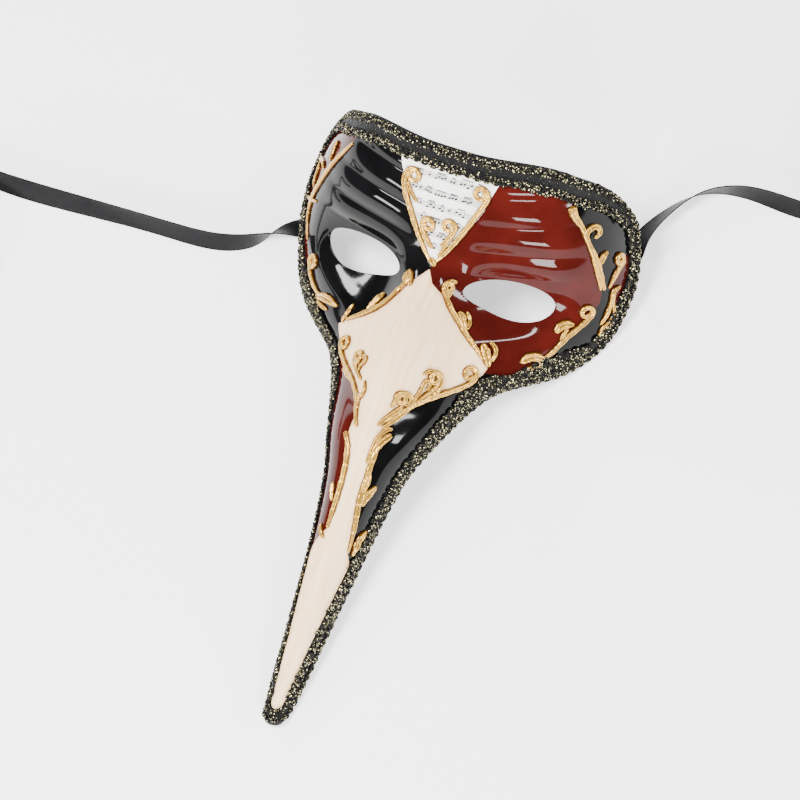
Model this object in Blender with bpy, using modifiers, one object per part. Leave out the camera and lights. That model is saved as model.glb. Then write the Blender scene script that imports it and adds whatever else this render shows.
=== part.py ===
"""Long-beaked half mask: a thin moulded shell with relief scrolls, a braided rim and ribbon ties.

The mask is drawn in its own frame, in millimetres: x across, y back into the face, z up as worn,
with the origin between the eyes. rest_point() lays it on a table in metres: +Z up, resting on the
two lower corners of the rim and on the tip of the beak.
"""
import math

import bmesh
import bpy
import numpy as np
from mathutils import Vector
from mathutils.bvhtree import BVHTree

MM = 0.001
GAP = 0.35

# How the mask lies at rest.
REST_TILT = math.radians(42.1)
REST_LIFT = 40.1
REST_SHIFT = 82.0

# Shell: half sections from the centreline to the rim, forehead first.
SHELL_THICKNESS = 1.5
FACE_SECTIONS = [
    [(0, -4.5, 70), (26, -3.5, 70.5), (50, 9, 63.5), (66, 31, 52), (73.5, 49, 41)],
    [(0, -7, 57), (27, -5, 56), (52, 6, 50), (70, 28, 41), (78, 49, 33)],
    [(0, -8.5, 38), (28, -6.5, 38), (54, 2, 34), (74, 22, 27), (82, 48, 20)],
    [(0, -9, 20), (27, -4, 21), (54, 3, 18), (75, 19, 12), (84.5, 45, 7)],
    [(0, -17, 9), (22, 2, 8), (50, 7, 5), (73, 17, 1), (84.5, 41, -3)],
    [(0, -36, 2), (19, 0, -5), (45, 6, -8), (69, 13, -11), (83, 35, -13)],
    [(0, -53, -10), (18, -19, -15), (40, -9, -20), (63, 3, -24), (80, 30, -25)],
    [(0, -63, -22), (17, -36, -25), (34, -21, -31), (52, -8, -37), (68, 13, -38)],
    [(0, -69, -34), (15, -48, -35), (29, -33, -39), (41, -18, -43), (50, 1, -44)],
    [(0, -73, -45), (13, -56, -46), (24, -42, -47), (31, -28, -48), (36, -12, -47.5)],
]
# Beak sections: y and z of the ridge, half width, height of the ridge over the edges.
BEAK_SECTIONS = [
    (-76.5, -55, 23, 25),
    (-81, -68, 18, 23.5),
    (-90, -86, 14.5, 21),
    (-103, -109, 11.5, 17.5),
    (-117, -133, 9, 12.5),
    (-130, -155, 7, 8),
    (-143, -175, 4.5, 4.5),
]
# Shape of a beak section: share of the half width, share of the height.
BEAK_PROFILE = [(0, 0), (0.45, 0.10), (0.78, 0.38), (0.93, 0.70), (1, 1)]
BEAK_BACK = Vector((0, 0.858, -0.514))
LAST_ROW = len(FACE_SECTIONS) + len(BEAK_SECTIONS) - 1
CORNER_START = 0.74
CORNER_ROWS = 1.3
DIP_ROWS = 0.35
DIP_INNER = 0.08
DIP_OUTER = 0.55
TIP_ROWS = 0.28

# Wrinkles moulded over the brows, and the puffed cheeks under the eyes.
FOLD_PITCH = 14.2
FOLD_HEIGHT = 1.5
FOLD_CREASE = 0.24
FOLD_TOP = 62
FOLD_BOTTOM = 8.1
FOLD_INNER = 10
FOLD_OUTER = 72
CHEEK_HEIGHT = 3.0

# Eye holes.
BROW_X = 38.3
EYES = (
    ("left", -1, 38.5, 22.2),
    ("right", 1, 37.2, 20.6),
)
EYE_Z = -2.3
EYE_HALF_HEIGHT = 8.6
EYE_SLOPE = math.radians(-7)
EYE_TAPER = 0.22

# Rim braid.
BRAID_OUT = 2.0
BRAID_THICK = 1.7
BRAID_BACK = 3.8
BRAID_STEP = 6.0
BRAID_GAP = 0.5
BRAID_MIDDLE = 9.5
BRAID_FOREHEAD = 10.6
BRAID_CORNER = 8.8
BRAID_SIDE = 7.0
BRAID_CHEEK = 8.5
BRAID_BEAK = 6.0
BRAID_TIP = 3.6

# Glued paper.
PAPER_THICK = 0.2

# Relief scrolls: radius of the bead, and the gap under it.
BEAD = 1.1
SCROLL_SEAT = 0.8

# Ribbon ties.
RIBBON_WIDTH = 10.0
RIBBON_THICK = 0.45
RIBBON_LIFT = 0.15
RIBBON_LENGTH = 500.0
COIL_RADIUS = 47.0
COIL_PITCH = 7.0
COIL_LEAD = 14.0
COIL_CENTRE_LEFT = (-272.0, 25.0, 0.0)
COIL_CENTRE_RIGHT = (182.0, 229.0, 0.0)
PATCH_SIDE = 15.0
PATCH_THICK = 1.2
PATCH_CENTRE = (70.5, 99.9, 22.8)
PATCH_NORMAL = (0.78, -0.46, 0.44)
PATCH_HEADING_LEFT = (-0.38, -0.22, -0.90)
PATCH_HEADING_RIGHT = (0.59, 0.69, -0.42)

COLLECTION = "beaked_mask"


# ---------------------------------------------------------------- frame and surface

def rest_point(point):
    """Mask frame in millimetres to the resting attitude in metres."""
    x, y, z = point
    sine, cosine = math.sin(REST_TILT), math.cos(REST_TILT)
    back = cosine * y + sine * z + REST_SHIFT
    height = -sine * y + cosine * z + REST_LIFT
    return Vector((x, back, height)) * MM


def all_sections():
    """Every half section as an array: row, point, coordinate."""
    rows = [[Vector(point) for point in row] for row in FACE_SECTIONS]
    for ridge_y, ridge_z, half_width, height in BEAK_SECTIONS:
        ridge = Vector((0, ridge_y, ridge_z))
        across = Vector((half_width, 0, 0))
        rows.append([ridge + a * across + b * height * BEAK_BACK for a, b in BEAK_PROFILE])
    return np.array([[list(point) for point in row] for row in rows])


SECTIONS = all_sections()


def spline_point(points, place, mirrored=False):
    """Point on a uniform cubic B-spline that reaches its end points."""
    points = np.asarray(points, float)
    before = points[1] * (-1, 1, 1) if mirrored else 2 * points[0] - points[1]
    padded = np.concatenate([[before], points, [2 * points[-1] - points[-2]]])
    first = min(int(place), len(points) - 2)
    f = place - first
    weights = np.array([
        (1 - f) ** 3, 3 * f ** 3 - 6 * f ** 2 + 4, 1 + 3 * f + 3 * f ** 2 - 3 * f ** 3, f ** 3])
    return np.tensordot(weights / 6, padded[first:first + 4], 1)


def fade(value, low, high):
    """Smooth step from 0 at low to 1 at high."""
    share = min(max((value - low) / (high - low), 0.0), 1.0)
    return share * share * (3 - 2 * share)


def relief(x, z):
    """How far the brow folds and the cheeks stand forward, in millimetres."""
    x = abs(x)
    height = z - 0.10 * (x - BROW_X) + 0.0016 * (x - BROW_X) ** 2
    wave = math.hypot(math.sin(math.pi * (height - FOLD_BOTTOM) / FOLD_PITCH), FOLD_CREASE) - FOLD_CREASE
    window = fade(x, FOLD_INNER, FOLD_INNER + 14) * (1 - fade(x, FOLD_OUTER - 18, FOLD_OUTER))
    window *= fade(height, FOLD_BOTTOM - 3, FOLD_BOTTOM + 3) * (1 - fade(height, FOLD_TOP - 8, FOLD_TOP))
    cheek = math.exp(-((x - 42) / 20) ** 2 - ((z + 19) / 6.5) ** 2)
    return FOLD_HEIGHT * wave * window + CHEEK_HEIGHT * cheek


def surface(row, across):
    """Outer surface: row runs from 0 at the forehead to LAST_ROW at the tip, across from -1 to 1."""
    half = [spline_point(SECTIONS[:, k], row) for k in range(SECTIONS.shape[1])]
    x, y, z = spline_point(half, abs(across) * (SECTIONS.shape[1] - 1), True)
    if row < 8:
        y -= relief(x, z)
    return Vector((math.copysign(x, across), y, z))


def round_end(share):
    """Depth of a quarter circle at a share of its radius."""
    return 1 - math.sqrt(max(0.0, 1 - share * share))


def row_limits(across):
    """First and last row at this place across: dipped middle, rounded corners and tip."""
    share = max(0.0, abs(across) - CORNER_START) / (1 - CORNER_START)
    dip = DIP_ROWS * (1 - fade(abs(across), DIP_INNER, DIP_OUTER))
    return dip + CORNER_ROWS * round_end(share), LAST_ROW - TIP_ROWS * round_end(abs(across))


def shell_point(down, across):
    """Surface point with down running from 0 at the top rim to 1 at the tip."""
    low, high = row_limits(across)
    return surface(low + (high - low) * down, across)


def grid_points(rows, half_columns):
    """Grid of surface points, closer together towards the rim."""
    columns = [math.sin(math.pi / 2 * k / half_columns) for k in range(-half_columns, half_columns + 1)]
    return [[shell_point(k / rows, across) for across in columns] for k in range(rows + 1)]


# ---------------------------------------------------------------- objects

def fresh_collection(name):
    collection = bpy.data.collections.new(name)
    bpy.context.scene.collection.children.link(collection)
    return collection


def make_material(name, colour, roughness, metallic=0.0):
    material = bpy.data.materials.new(name)
    material.use_nodes = True
    shader = material.node_tree.nodes["Principled BSDF"]
    shader.inputs["Base Color"].default_value = (*colour, 1)
    shader.inputs["Roughness"].default_value = roughness
    shader.inputs["Metallic"].default_value = metallic
    return material


def mesh_object(name, points, faces, material, collection):
    mesh = bpy.data.meshes.new(name)
    mesh.from_pydata([tuple(point) for point in points], [], faces)
    mesh.materials.append(material)
    work = bmesh.new()
    work.from_mesh(mesh)
    bmesh.ops.recalc_face_normals(work, faces=work.faces)
    work.to_mesh(mesh)
    work.free()
    item = bpy.data.objects.new(name, mesh)
    collection.objects.link(item)
    return item


def loft(name, rings, material, collection):
    """Closed solid through rings of points, capped at both ends."""
    count = len(rings[0])
    points = [point for ring in rings for point in ring]
    faces = [tuple(range(count))]
    for k in range(len(rings) - 1):
        base = k * count
        for j in range(count):
            after = (j + 1) % count
            faces.append((base + j, base + after, base + count + after, base + count + j))
    faces.append(tuple(range(len(points) - count, len(points))))
    item = mesh_object(name, points, faces, material, collection)
    item.data.shade_smooth()
    item.data.set_sharp_from_angle(angle=math.radians(50))
    return item


def mask_tree(rows=150, half_columns=45):
    """Lookup tree over the outer surface in the mask frame."""
    grid = grid_points(rows, half_columns)
    width = len(grid[0])
    points = [point for row in grid for point in row]
    faces = []
    for r in range(rows):
        for c in range(width - 1):
            base = r * width + c
            faces.append((base, base + width, base + width + 1, base + 1))
    return BVHTree.FromPolygons(points, faces)


def nearest(tree, point):
    """Nearest surface point and the normal there, pointing forward."""
    place, normal, _, _ = tree.find_nearest(point)
    return place, normal


# ---------------------------------------------------------------- shell

def eye_outline(side, centre, half_length, count=40):
    """Almond outline of an eye hole, narrower at the nose."""
    points = []
    for k in range(count):
        angle = 2 * math.pi * k / count
        along = half_length * math.cos(angle)
        up = EYE_HALF_HEIGHT * math.sin(angle) * (1 + EYE_TAPER * math.cos(angle))
        x = centre + along * math.cos(EYE_SLOPE) - up * math.sin(EYE_SLOPE)
        z = EYE_Z + along * math.sin(EYE_SLOPE) + up * math.cos(EYE_SLOPE)
        points.append((side * x, z))
    return points


def build_shell(material, collection, cutters):
    rows, half_columns = 50, 13
    grid = grid_points(rows, half_columns)
    width = len(grid[0])
    faces = []
    for r in range(rows):
        for c in range(width - 1):
            base = r * width + c
            faces.append((base, base + width, base + width + 1, base + 1))
    points = [rest_point(point) for row in grid for point in row]
    mesh = bpy.data.meshes.new("shell")
    mesh.from_pydata(points, [], faces)
    mesh.materials.append(material)
    shell = bpy.data.objects.new("shell", mesh)
    collection.objects.link(shell)
    solid = shell.modifiers.new("thickness", "SOLIDIFY")
    solid.thickness = SHELL_THICKNESS * MM
    solid.offset = -1
    for name, side, centre, half_length in EYES:
        outline = eye_outline(side, centre, half_length)
        rings = [[rest_point((x, depth, z)) for x, z in outline] for depth in (-22, 36)]
        cutter = loft("eye_cutter_" + name, rings, material, cutters)
        cutter.hide_render = True
        cutter.display_type = "WIRE"
        cut = shell.modifiers.new(cutter.name, "BOOLEAN")
        cut.object = cutter
        cut.operation = "DIFFERENCE"
        cut.solver = "EXACT"
    mesh.shade_smooth()
    return shell


def build_music_paper(tree, material, collection):
    """Triangle of paper glued to the middle of the forehead, its point at the nose bridge."""
    top, bottom, rows, columns = 1.08, 3.62, 9, 6
    rings = []
    for r in range(rows + 1):
        share = r / rows
        row = top + (bottom - top) * share
        half = 0.205 * (1 - share) + 0.012
        front, back = [], []
        for c in range(columns + 1):
            place = surface(row, -0.012 + half * (2 * c / columns - 1))
            spot, normal = nearest(tree, place)
            back.append(rest_point(spot + normal * GAP))
            front.append(rest_point(spot + normal * (GAP + PAPER_THICK)))
        rings.append(front + back[::-1])
    return loft("music_paper", rings, material, collection)


# ---------------------------------------------------------------- rim braid

def rim_loop(steps=900):
    """Closed rim, clockwise seen from the front, from the middle of the forehead."""
    points = []
    for k in range(steps):
        across = math.sin(math.pi / 2 * k / steps)
        points.append(shell_point(0, across))
    for k in range(steps):
        points.append(shell_point(k / steps, 1))
    for k in range(steps // 2):
        across = math.cos(math.pi * k / (steps // 2))
        points.append(shell_point(1, across))
    for k in range(steps):
        points.append(shell_point(1 - k / steps, -1))
    for k in range(steps):
        across = -math.cos(math.pi / 2 * k / steps)
        points.append(shell_point(0, across))
    return points


def running_lengths(points):
    total = [0.0]
    for k in range(1, len(points)):
        total.append(total[-1] + (points[k] - points[k - 1]).length)
    return total


def at_length(points, lengths, wanted):
    """Point of a polyline at a running length."""
    k = int(np.searchsorted(lengths, wanted, "right")) - 1
    k = min(max(k, 0), len(points) - 2)
    span = lengths[k + 1] - lengths[k]
    share = 0.0 if span == 0 else (wanted - lengths[k]) / span
    return points[k].lerp(points[k + 1], share)


def braid_width(share):
    """Width of the braid's front leg, by the share of half the rim from the forehead to the tip."""
    stops = [0.0, 0.16, 0.235, 0.30, 0.42, 0.47, 0.54, 0.62, 0.90, 0.975, 1.0]
    widths = [BRAID_MIDDLE, BRAID_FOREHEAD, BRAID_CORNER, BRAID_SIDE, BRAID_SIDE, BRAID_CHEEK,
              BRAID_CHEEK, BRAID_BEAK, 5.0, BRAID_TIP, BRAID_TIP]
    return float(np.interp(share, stops, widths))


def braid_ring(tree, rim, lengths, place):
    """Cross-section of the braid folded over the rim: front leg, edge and back leg."""
    point = at_length(rim, lengths, place % lengths[-1])
    ahead = at_length(rim, lengths, (place + 1.5) % lengths[-1])
    behind = at_length(rim, lengths, (place - 1.5) % lengths[-1])
    along = (ahead - behind).normalized()
    _, normal = nearest(tree, point)
    inboard = along.cross(normal).normalized()
    _, normal = nearest(tree, point + inboard * 2)
    inboard = along.cross(normal).normalized()
    share = min(place, lengths[-1] - place) / (lengths[-1] / 2)
    width = braid_width(share)
    back = min(BRAID_BACK, width)
    inner = SHELL_THICKNESS + BRAID_GAP
    outline = []
    for inset in (width, width * 0.67, width * 0.33):
        spot, up = nearest(tree, point + inboard * inset)
        outline.append(spot + up * BRAID_GAP)
    outline.append(point - inboard * BRAID_GAP + normal * BRAID_GAP)
    outline.append(point - inboard * BRAID_GAP - normal * inner)
    spot, up = nearest(tree, point + inboard * back)
    outline.append(spot - up * inner)
    outline.append(spot - up * (inner + BRAID_THICK))
    outline.append(point - inboard * BRAID_OUT * 0.7 - normal * (inner + BRAID_THICK * 0.8))
    outline.append(point - inboard * BRAID_OUT - normal * SHELL_THICKNESS / 2)
    outline.append(point - inboard * BRAID_OUT * 0.7 + normal * (BRAID_GAP + BRAID_THICK * 0.8))
    for inset, height in (
            (width * 0.33, BRAID_THICK + 0.2), (width * 0.67, BRAID_THICK + 0.2), (width, BRAID_THICK)):
        spot, up = nearest(tree, point + inboard * inset)
        outline.append(spot + up * (BRAID_GAP + height))
    return [rest_point(spot) for spot in outline]


def build_braid(tree, material, collection):
    rim = rim_loop()
    rim.append(rim[0])
    lengths = running_lengths(rim)
    whole = lengths[-1]
    half = whole / 2
    cuts = [
        ("braid_forehead", -0.235, 0.235),
        ("braid_temple_right", 0.235, 0.40),
        ("braid_cheek_right", 0.40, 0.60),
        ("braid_beak_right", 0.60, 0.97),
        ("braid_tip", 0.97, 1.03),
        ("braid_beak_left", 1.03, 1.40),
        ("braid_cheek_left", 1.40, 1.60),
        ("braid_temple_left", 1.60, 1.765),
    ]
    for name, first, last in cuts:
        start = first * half + GAP / 2
        end = last * half - GAP / 2
        step = BRAID_STEP if name != "braid_tip" else 1.6
        count = max(2, round((end - start) / step))
        places = [(start + (end - start) * k / count) % whole for k in range(count + 1)]
        rings = [braid_ring(tree, rim, lengths, place) for place in places]
        loft(name, rings, material, collection)


# ---------------------------------------------------------------- relief scrolls

# Stems as (row, across) on the shell, then the curl at the end: its radius and its turn, 1 to the left.
SCROLLS = {
    "forehead_scroll_left": (
        [(3.70, -0.030), (3.20, -0.078), (2.69, -0.117), (2.16, -0.154), (1.74, -0.187), (1.42, -0.203),
         (1.25, -0.192)], (3.6, -1)),
    "forehead_scroll_right": (
        [(3.52, 0.040), (3.08, 0.068), (2.51, 0.107), (1.99, 0.144), (1.55, 0.179), (1.32, 0.190),
         (1.22, 0.184)], (3.4, 1)),
    "forehead_curl_left": ([(3.36, -0.014), (3.10, -0.045), (2.85, -0.074), (2.65, -0.082)], (3.2, -1)),
    "forehead_curl_right": ([(3.18, 0.018), (2.93, 0.040), (2.68, 0.062), (2.50, 0.068)], (3.2, 1)),
    "temple_scroll_left": (
        [(0.95, -0.552), (1.10, -0.565), (1.40, -0.600), (1.77, -0.643), (2.33, -0.695),
         (2.96, -0.764), (3.71, -0.846),
         (4.34, -0.884), (4.90, -0.885), (5.27, -0.874)], None),
    "temple_sprig_left": ([(3.12, -0.846), (2.67, -0.832), (2.31, -0.838), (2.10, -0.870)], None),
    "cheek_scroll_left": ([(6.50, -0.701), (6.48, -0.768), (6.28, -0.805), (6.02, -0.818), (5.80, -0.811)],
                          (3.4, -1)),
    "temple_scroll_right": (
        [(1.00, 0.583), (1.22, 0.602), (1.40, 0.621), (1.65, 0.645), (2.08, 0.686),
         (2.57, 0.720), (3.13, 0.762),
         (3.55, 0.795)], None),
    "temple_branch_right": ([(3.45, 0.835), (3.04, 0.842), (2.70, 0.862), (2.45, 0.885)], (2.8, 1)),
    "temple_sprig_right": (
        [(3.60, 0.886), (3.92, 0.884), (4.39, 0.894), (4.80, 0.904), (5.10, 0.900)], None),
    "cheek_scroll_right": (
        [(6.42, 0.724), (6.25, 0.756), (6.00, 0.760), (5.66, 0.757), (5.34, 0.771), (5.02, 0.796),
         (4.70, 0.809)], (3.4, 1)),
    "beak_scroll_upper_left": (
        [(6.80, -0.495), (6.63, -0.435), (6.28, -0.322), (5.96, -0.241), (5.49, -0.173), (5.05, -0.125),
         (4.75, -0.092)], (2.4, 1)),
    "beak_scroll_upper_right": (
        [(6.71, 0.499), (6.31, 0.408), (6.03, 0.322), (5.68, 0.247), (5.32, 0.184), (4.92, 0.133),
         (4.70, 0.112)], (2.6, -1)),
    "beak_scroll_lower_left": (
        [(9.66, -0.122), (9.22, -0.156), (8.85, -0.189), (8.65, -0.245), (8.49, -0.327), (8.34, -0.455),
         (8.07, -0.530), (7.85, -0.540)], (3.2, -1)),
    "beak_curl_left": ([(8.16, -0.265), (8.06, -0.310), (7.92, -0.325)], (3.0, -1)),
    "beak_tendril_left": (
        [(9.93, -0.203), (10.43, -0.137), (11.00, -0.112), (11.56, -0.110), (12.03, -0.120),
         (12.41, -0.150)], None),
    "beak_scroll_lower_right": (
        [(9.32, 0.106), (9.05, 0.191), (8.75, 0.261), (8.52, 0.326), (8.30, 0.410), (8.06, 0.480),
         (7.80, 0.528), (7.52, 0.540)], (3.2, 1)),
    "beak_curl_upper_right": ([(8.02, 0.362), (7.86, 0.368), (7.65, 0.352)], (3.2, 1)),
    "beak_curl_lower_right": ([(8.66, 0.158), (8.52, 0.149), (8.35, 0.140)], (2.8, -1)),
    "beak_tendril_right": (
        [(9.70, 0.218), (10.07, 0.198), (10.66, 0.213), (11.11, 0.229), (11.47, 0.230), (11.77, 0.259),
         (12.09, 0.320), (12.44, 0.390), (12.73, 0.440)], None),
}


def stem_points(stem, step=1.0):
    """Surface points along a smooth line through the stem's places."""
    places = [(row, across, 0) for row, across in stem]
    fine = [spline_point(places, (len(places) - 1) * k / 200) for k in range(201)]
    points = [surface(row, across) for row, across, _ in fine]
    lengths = running_lengths(points)
    count = max(2, round(lengths[-1] / step))
    return [at_length(points, lengths, lengths[-1] * k / count) for k in range(count + 1)]


def curl_points(tree, start, heading, radius, turn, turns=1.15, step=1.0):
    """Volute that carries on from a stem's end, its radius shrinking to a third."""
    points = []
    place, heading = start.copy(), heading.normalized()
    swept, whole = 0.0, 2 * math.pi * turns
    while swept < whole:
        bend = radius * (1 - 0.62 * swept / whole)
        angle = step / bend
        _, normal = nearest(tree, place)
        heading = (heading - normal * heading.dot(normal)).normalized()
        side = normal.cross(heading)
        heading = (heading * math.cos(angle) + side * turn * math.sin(angle)).normalized()
        place, _ = nearest(tree, place + heading * step)
        points.append(place)
        swept += angle
    return points


def scroll_path(tree, stem, curl):
    points = stem_points(stem)
    if curl:
        points += curl_points(tree, points[-1], points[-1] - points[-2], *curl)
    return points


def thinned(points, spacing):
    """Points about this far apart, keeping both ends."""
    lengths = running_lengths(points)
    count = max(2, round(lengths[-1] / spacing))
    return [at_length(points, lengths, lengths[-1] * k / count) for k in range(count + 1)]


def build_scroll(name, tree, path, material, collection):
    curve = bpy.data.curves.new(name, "CURVE")
    curve.dimensions = "3D"
    curve.bevel_depth = BEAD * MM
    curve.bevel_resolution = 1
    curve.use_fill_caps = True
    curve.materials.append(material)
    points = []
    for point in thinned(path, 2.6):
        place, normal = nearest(tree, point)
        points.append(rest_point(place + normal * (BEAD + SCROLL_SEAT)))
    spline = curve.splines.new("POLY")
    spline.points.add(len(points) - 1)
    for target, point in zip(spline.points, points):
        target.co = (*point, 1)
    item = bpy.data.objects.new(name, curve)
    collection.objects.link(item)
    return item


# ---------------------------------------------------------------- ribbons

# Routes in millimetres: x, y, lift of the strip's lower edge, lean of the strip in degrees.
ROUTE_LEFT = [
    (-73.0, 98.5, 15.0, 0), (-73.6, 98.3, 11.0, 0), (-74.1, 98.6, 6.4, 0), (-75.6, 98.9, 2.5, 0),
    (-78.6, 98.9, 0.3, 0), (-82.0, 98.2, 0.0, 0), (-87.0, 95.6, 0.0, -5), (-94.6, 89.0, 0.0, -18),
    (-103.5, 80.5, 0.0, -38), (-119.6, 75.2, 0.0, -72), (-141.5, 74.3, 0.0, -62), (-167.3, 74.1, 0.0, -48),
    (-197.8, 72.4, 0.0, -35), (-228.6, 71.8, 0.0, -12), (-246.0, 72.0, 0.0, -40), (-258.0, 72.0, 0.0, -90),
]
ROUTE_RIGHT = [
    (74.8, 105.6, 14.4, -63), (76.1, 109.8, 11.7, -62), (76.9, 115.6, 7.6, -60),
    (76.4, 123.0, 3.0, -52), (75.5, 132.0, 0.8, -42), (76.5, 144.0, 0.0, -36), (82.0, 156.6, 0.0, -45),
    (90.0, 169.0, 0.0, -62), (99.6, 177.6, 0.0, -80), (115.8, 182.5, 0.0, -58), (130.0, 182.6, 0.0, -45),
    (142.0, 181.7, 0.0, -35), (155.0, 181.8, 0.0, -50), (168.0, 182.0, 0.0, -90),
]


def route_frames(route):
    """Centre and wide direction of the strip at stations along its route, in millimetres."""
    count = 3 * (len(route) - 1)
    samples = [spline_point(route, (len(route) - 1) * k / count) for k in range(count + 1)]
    centres, leans = [], []
    for x, y, lift, lean in samples:
        rise = RIBBON_WIDTH / 2 * abs(math.sin(math.radians(lean)))
        centres.append(Vector((x, y, lift + RIBBON_THICK / 2 + RIBBON_LIFT + rise)))
        leans.append(math.radians(lean))
    frames = []
    for k, centre in enumerate(centres):
        along = (centres[min(k + 1, count)] - centres[max(k - 1, 0)]).normalized()
        level = along.cross(Vector((0, 0, 1))).normalized()
        upright = level.cross(along)
        wide = level * math.cos(leans[k]) + upright * math.sin(leans[k])
        frames.append((centre, along, wide))
    return frames


def build_ribbon(name, route, material, collection):
    """Flat strip from the patch to the coil."""
    rings = []
    for centre, along, wide in route_frames(route):
        half = wide * RIBBON_WIDTH / 2
        thick = wide.cross(along) * RIBBON_THICK / 2
        ring = [centre + half + thick, centre - half + thick, centre - half - thick, centre + half - thick]
        rings.append([point * MM for point in ring])
    return loft(name, rings, material, collection)


def coil_turns(route):
    """Turns that hold what is left of the ribbon after its route."""
    centres = [frame[0] for frame in route_frames(route)]
    left = RIBBON_LENGTH - running_lengths(centres)[-1] - COIL_LEAD
    turns = left / (2 * math.pi * COIL_RADIUS)
    for _ in range(4):
        turns = left / (2 * math.pi * (COIL_RADIUS - COIL_PITCH * turns / 2))
    return turns


def build_patch(name, side, heading, material, collection):
    """Square of felt glued inside the temple; the ribbon leaves it along the heading."""
    centre = Vector((side * PATCH_CENTRE[0], *PATCH_CENTRE[1:]))
    normal = Vector((side * PATCH_NORMAL[0], *PATCH_NORMAL[1:])).normalized()
    level = normal.cross(Vector(heading)).normalized()
    forward = level.cross(normal)
    rings = []
    for depth in (0, -PATCH_THICK):
        ring = []
        for a, b in ((1, 1), (-1, 1), (-1, -1), (1, -1)):
            spot = centre + level * a * PATCH_SIDE / 2 + forward * b * PATCH_SIDE / 2 + normal * depth
            ring.append(spot * MM)
        rings.append(ring)
    return loft(name, rings, material, collection)


def build_coil(name, route, centre, material, collection):
    """Outer shape of the wound-up end: a turned ring lying on the table."""
    inner = COIL_RADIUS - COIL_PITCH * coil_turns(route) - 1
    outer = COIL_RADIUS + 1.2
    height = RIBBON_WIDTH + 1.2
    profile = [(outer, height), (outer, GAP), (inner, GAP), (inner, height)]
    mesh = bpy.data.meshes.new(name)
    edges = [(k, (k + 1) % 4) for k in range(4)]
    mesh.from_pydata([(radius * MM, 0, z * MM) for radius, z in profile], edges, [])
    mesh.materials.append(material)
    item = bpy.data.objects.new(name, mesh)
    item.location = Vector(centre) * MM
    collection.objects.link(item)
    turn = item.modifiers.new("turn", "SCREW")
    turn.steps = 40
    turn.render_steps = 40
    turn.use_merge_vertices = True
    turn.merge_threshold = 0.00001
    return item


def main():
    for item in list(bpy.data.objects):
        bpy.data.objects.remove(item, do_unlink=True)
    parts = fresh_collection(COLLECTION)
    cutters = fresh_collection("cutters")
    plastic = make_material("shell_gloss", (0.02, 0.02, 0.022), 0.12)
    paper = make_material("score_paper", (0.82, 0.80, 0.74), 0.6)
    braid = make_material("braid", (0.06, 0.06, 0.05), 0.6, 0.3)
    gold = make_material("gold_relief", (0.72, 0.47, 0.14), 0.32, 0.7)
    satin = make_material("ribbon_satin", (0.012, 0.012, 0.014), 0.4)
    felt = make_material("felt", (0.03, 0.03, 0.03), 0.9)

    tree = mask_tree()
    build_shell(plastic, parts, cutters)
    build_music_paper(tree, paper, parts)
    build_braid(tree, braid, parts)
    for name, (stem, curl) in SCROLLS.items():
        build_scroll(name, tree, scroll_path(tree, stem, curl), gold, parts)
    build_patch("ribbon_patch_left", -1, PATCH_HEADING_LEFT, felt, parts)
    build_patch("ribbon_patch_right", 1, PATCH_HEADING_RIGHT, felt, parts)
    build_ribbon("ribbon_left", ROUTE_LEFT, satin, parts)
    build_ribbon("ribbon_right", ROUTE_RIGHT, satin, parts)
    build_coil("ribbon_coil_left", ROUTE_LEFT, COIL_CENTRE_LEFT, satin, parts)
    build_coil("ribbon_coil_right", ROUTE_RIGHT, COIL_CENTRE_RIGHT, satin, parts)


main()
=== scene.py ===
"""Looks of the long-beaked half mask: painted shell, relief scrolls, gimp braid, paper and ribbons."""
import math

import bmesh
import bpy
import numpy as np
from mathutils import Matrix, Vector
from mathutils.bvhtree import BVHTree


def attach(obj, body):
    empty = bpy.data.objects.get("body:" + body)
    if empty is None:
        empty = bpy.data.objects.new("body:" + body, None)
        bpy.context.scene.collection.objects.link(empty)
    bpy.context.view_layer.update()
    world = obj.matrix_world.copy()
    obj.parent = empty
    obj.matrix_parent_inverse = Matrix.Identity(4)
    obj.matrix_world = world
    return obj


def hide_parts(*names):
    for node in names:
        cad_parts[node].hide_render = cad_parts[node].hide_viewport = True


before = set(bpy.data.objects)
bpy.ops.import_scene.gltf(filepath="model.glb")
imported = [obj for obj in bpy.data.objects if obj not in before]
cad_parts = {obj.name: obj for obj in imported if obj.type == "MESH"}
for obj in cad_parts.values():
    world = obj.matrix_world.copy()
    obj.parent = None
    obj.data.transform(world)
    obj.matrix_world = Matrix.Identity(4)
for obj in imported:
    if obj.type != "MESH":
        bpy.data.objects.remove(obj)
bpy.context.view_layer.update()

MM = 0.001

# ---------------------------------------------------------------- mask surface (as in the CAD)

REST_TILT = math.radians(42.1)
REST_LIFT = 40.1
REST_SHIFT = 82.0
SHELL_THICKNESS = 1.5
FACE_SECTIONS = [
    [(0, -4.5, 70), (26, -3.5, 70.5), (50, 9, 63.5), (66, 31, 52), (73.5, 49, 41)],
    [(0, -7, 57), (27, -5, 56), (52, 6, 50), (70, 28, 41), (78, 49, 33)],
    [(0, -8.5, 38), (28, -6.5, 38), (54, 2, 34), (74, 22, 27), (82, 48, 20)],
    [(0, -9, 20), (27, -4, 21), (54, 3, 18), (75, 19, 12), (84.5, 45, 7)],
    [(0, -17, 9), (22, 2, 8), (50, 7, 5), (73, 17, 1), (84.5, 41, -3)],
    [(0, -36, 2), (19, 0, -5), (45, 6, -8), (69, 13, -11), (83, 35, -13)],
    [(0, -53, -10), (18, -19, -15), (40, -9, -20), (63, 3, -24), (80, 30, -25)],
    [(0, -63, -22), (17, -36, -25), (34, -21, -31), (52, -8, -37), (68, 13, -38)],
    [(0, -69, -34), (15, -48, -35), (29, -33, -39), (41, -18, -43), (50, 1, -44)],
    [(0, -73, -45), (13, -56, -46), (24, -42, -47), (31, -28, -48), (36, -12, -47.5)],
]
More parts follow.
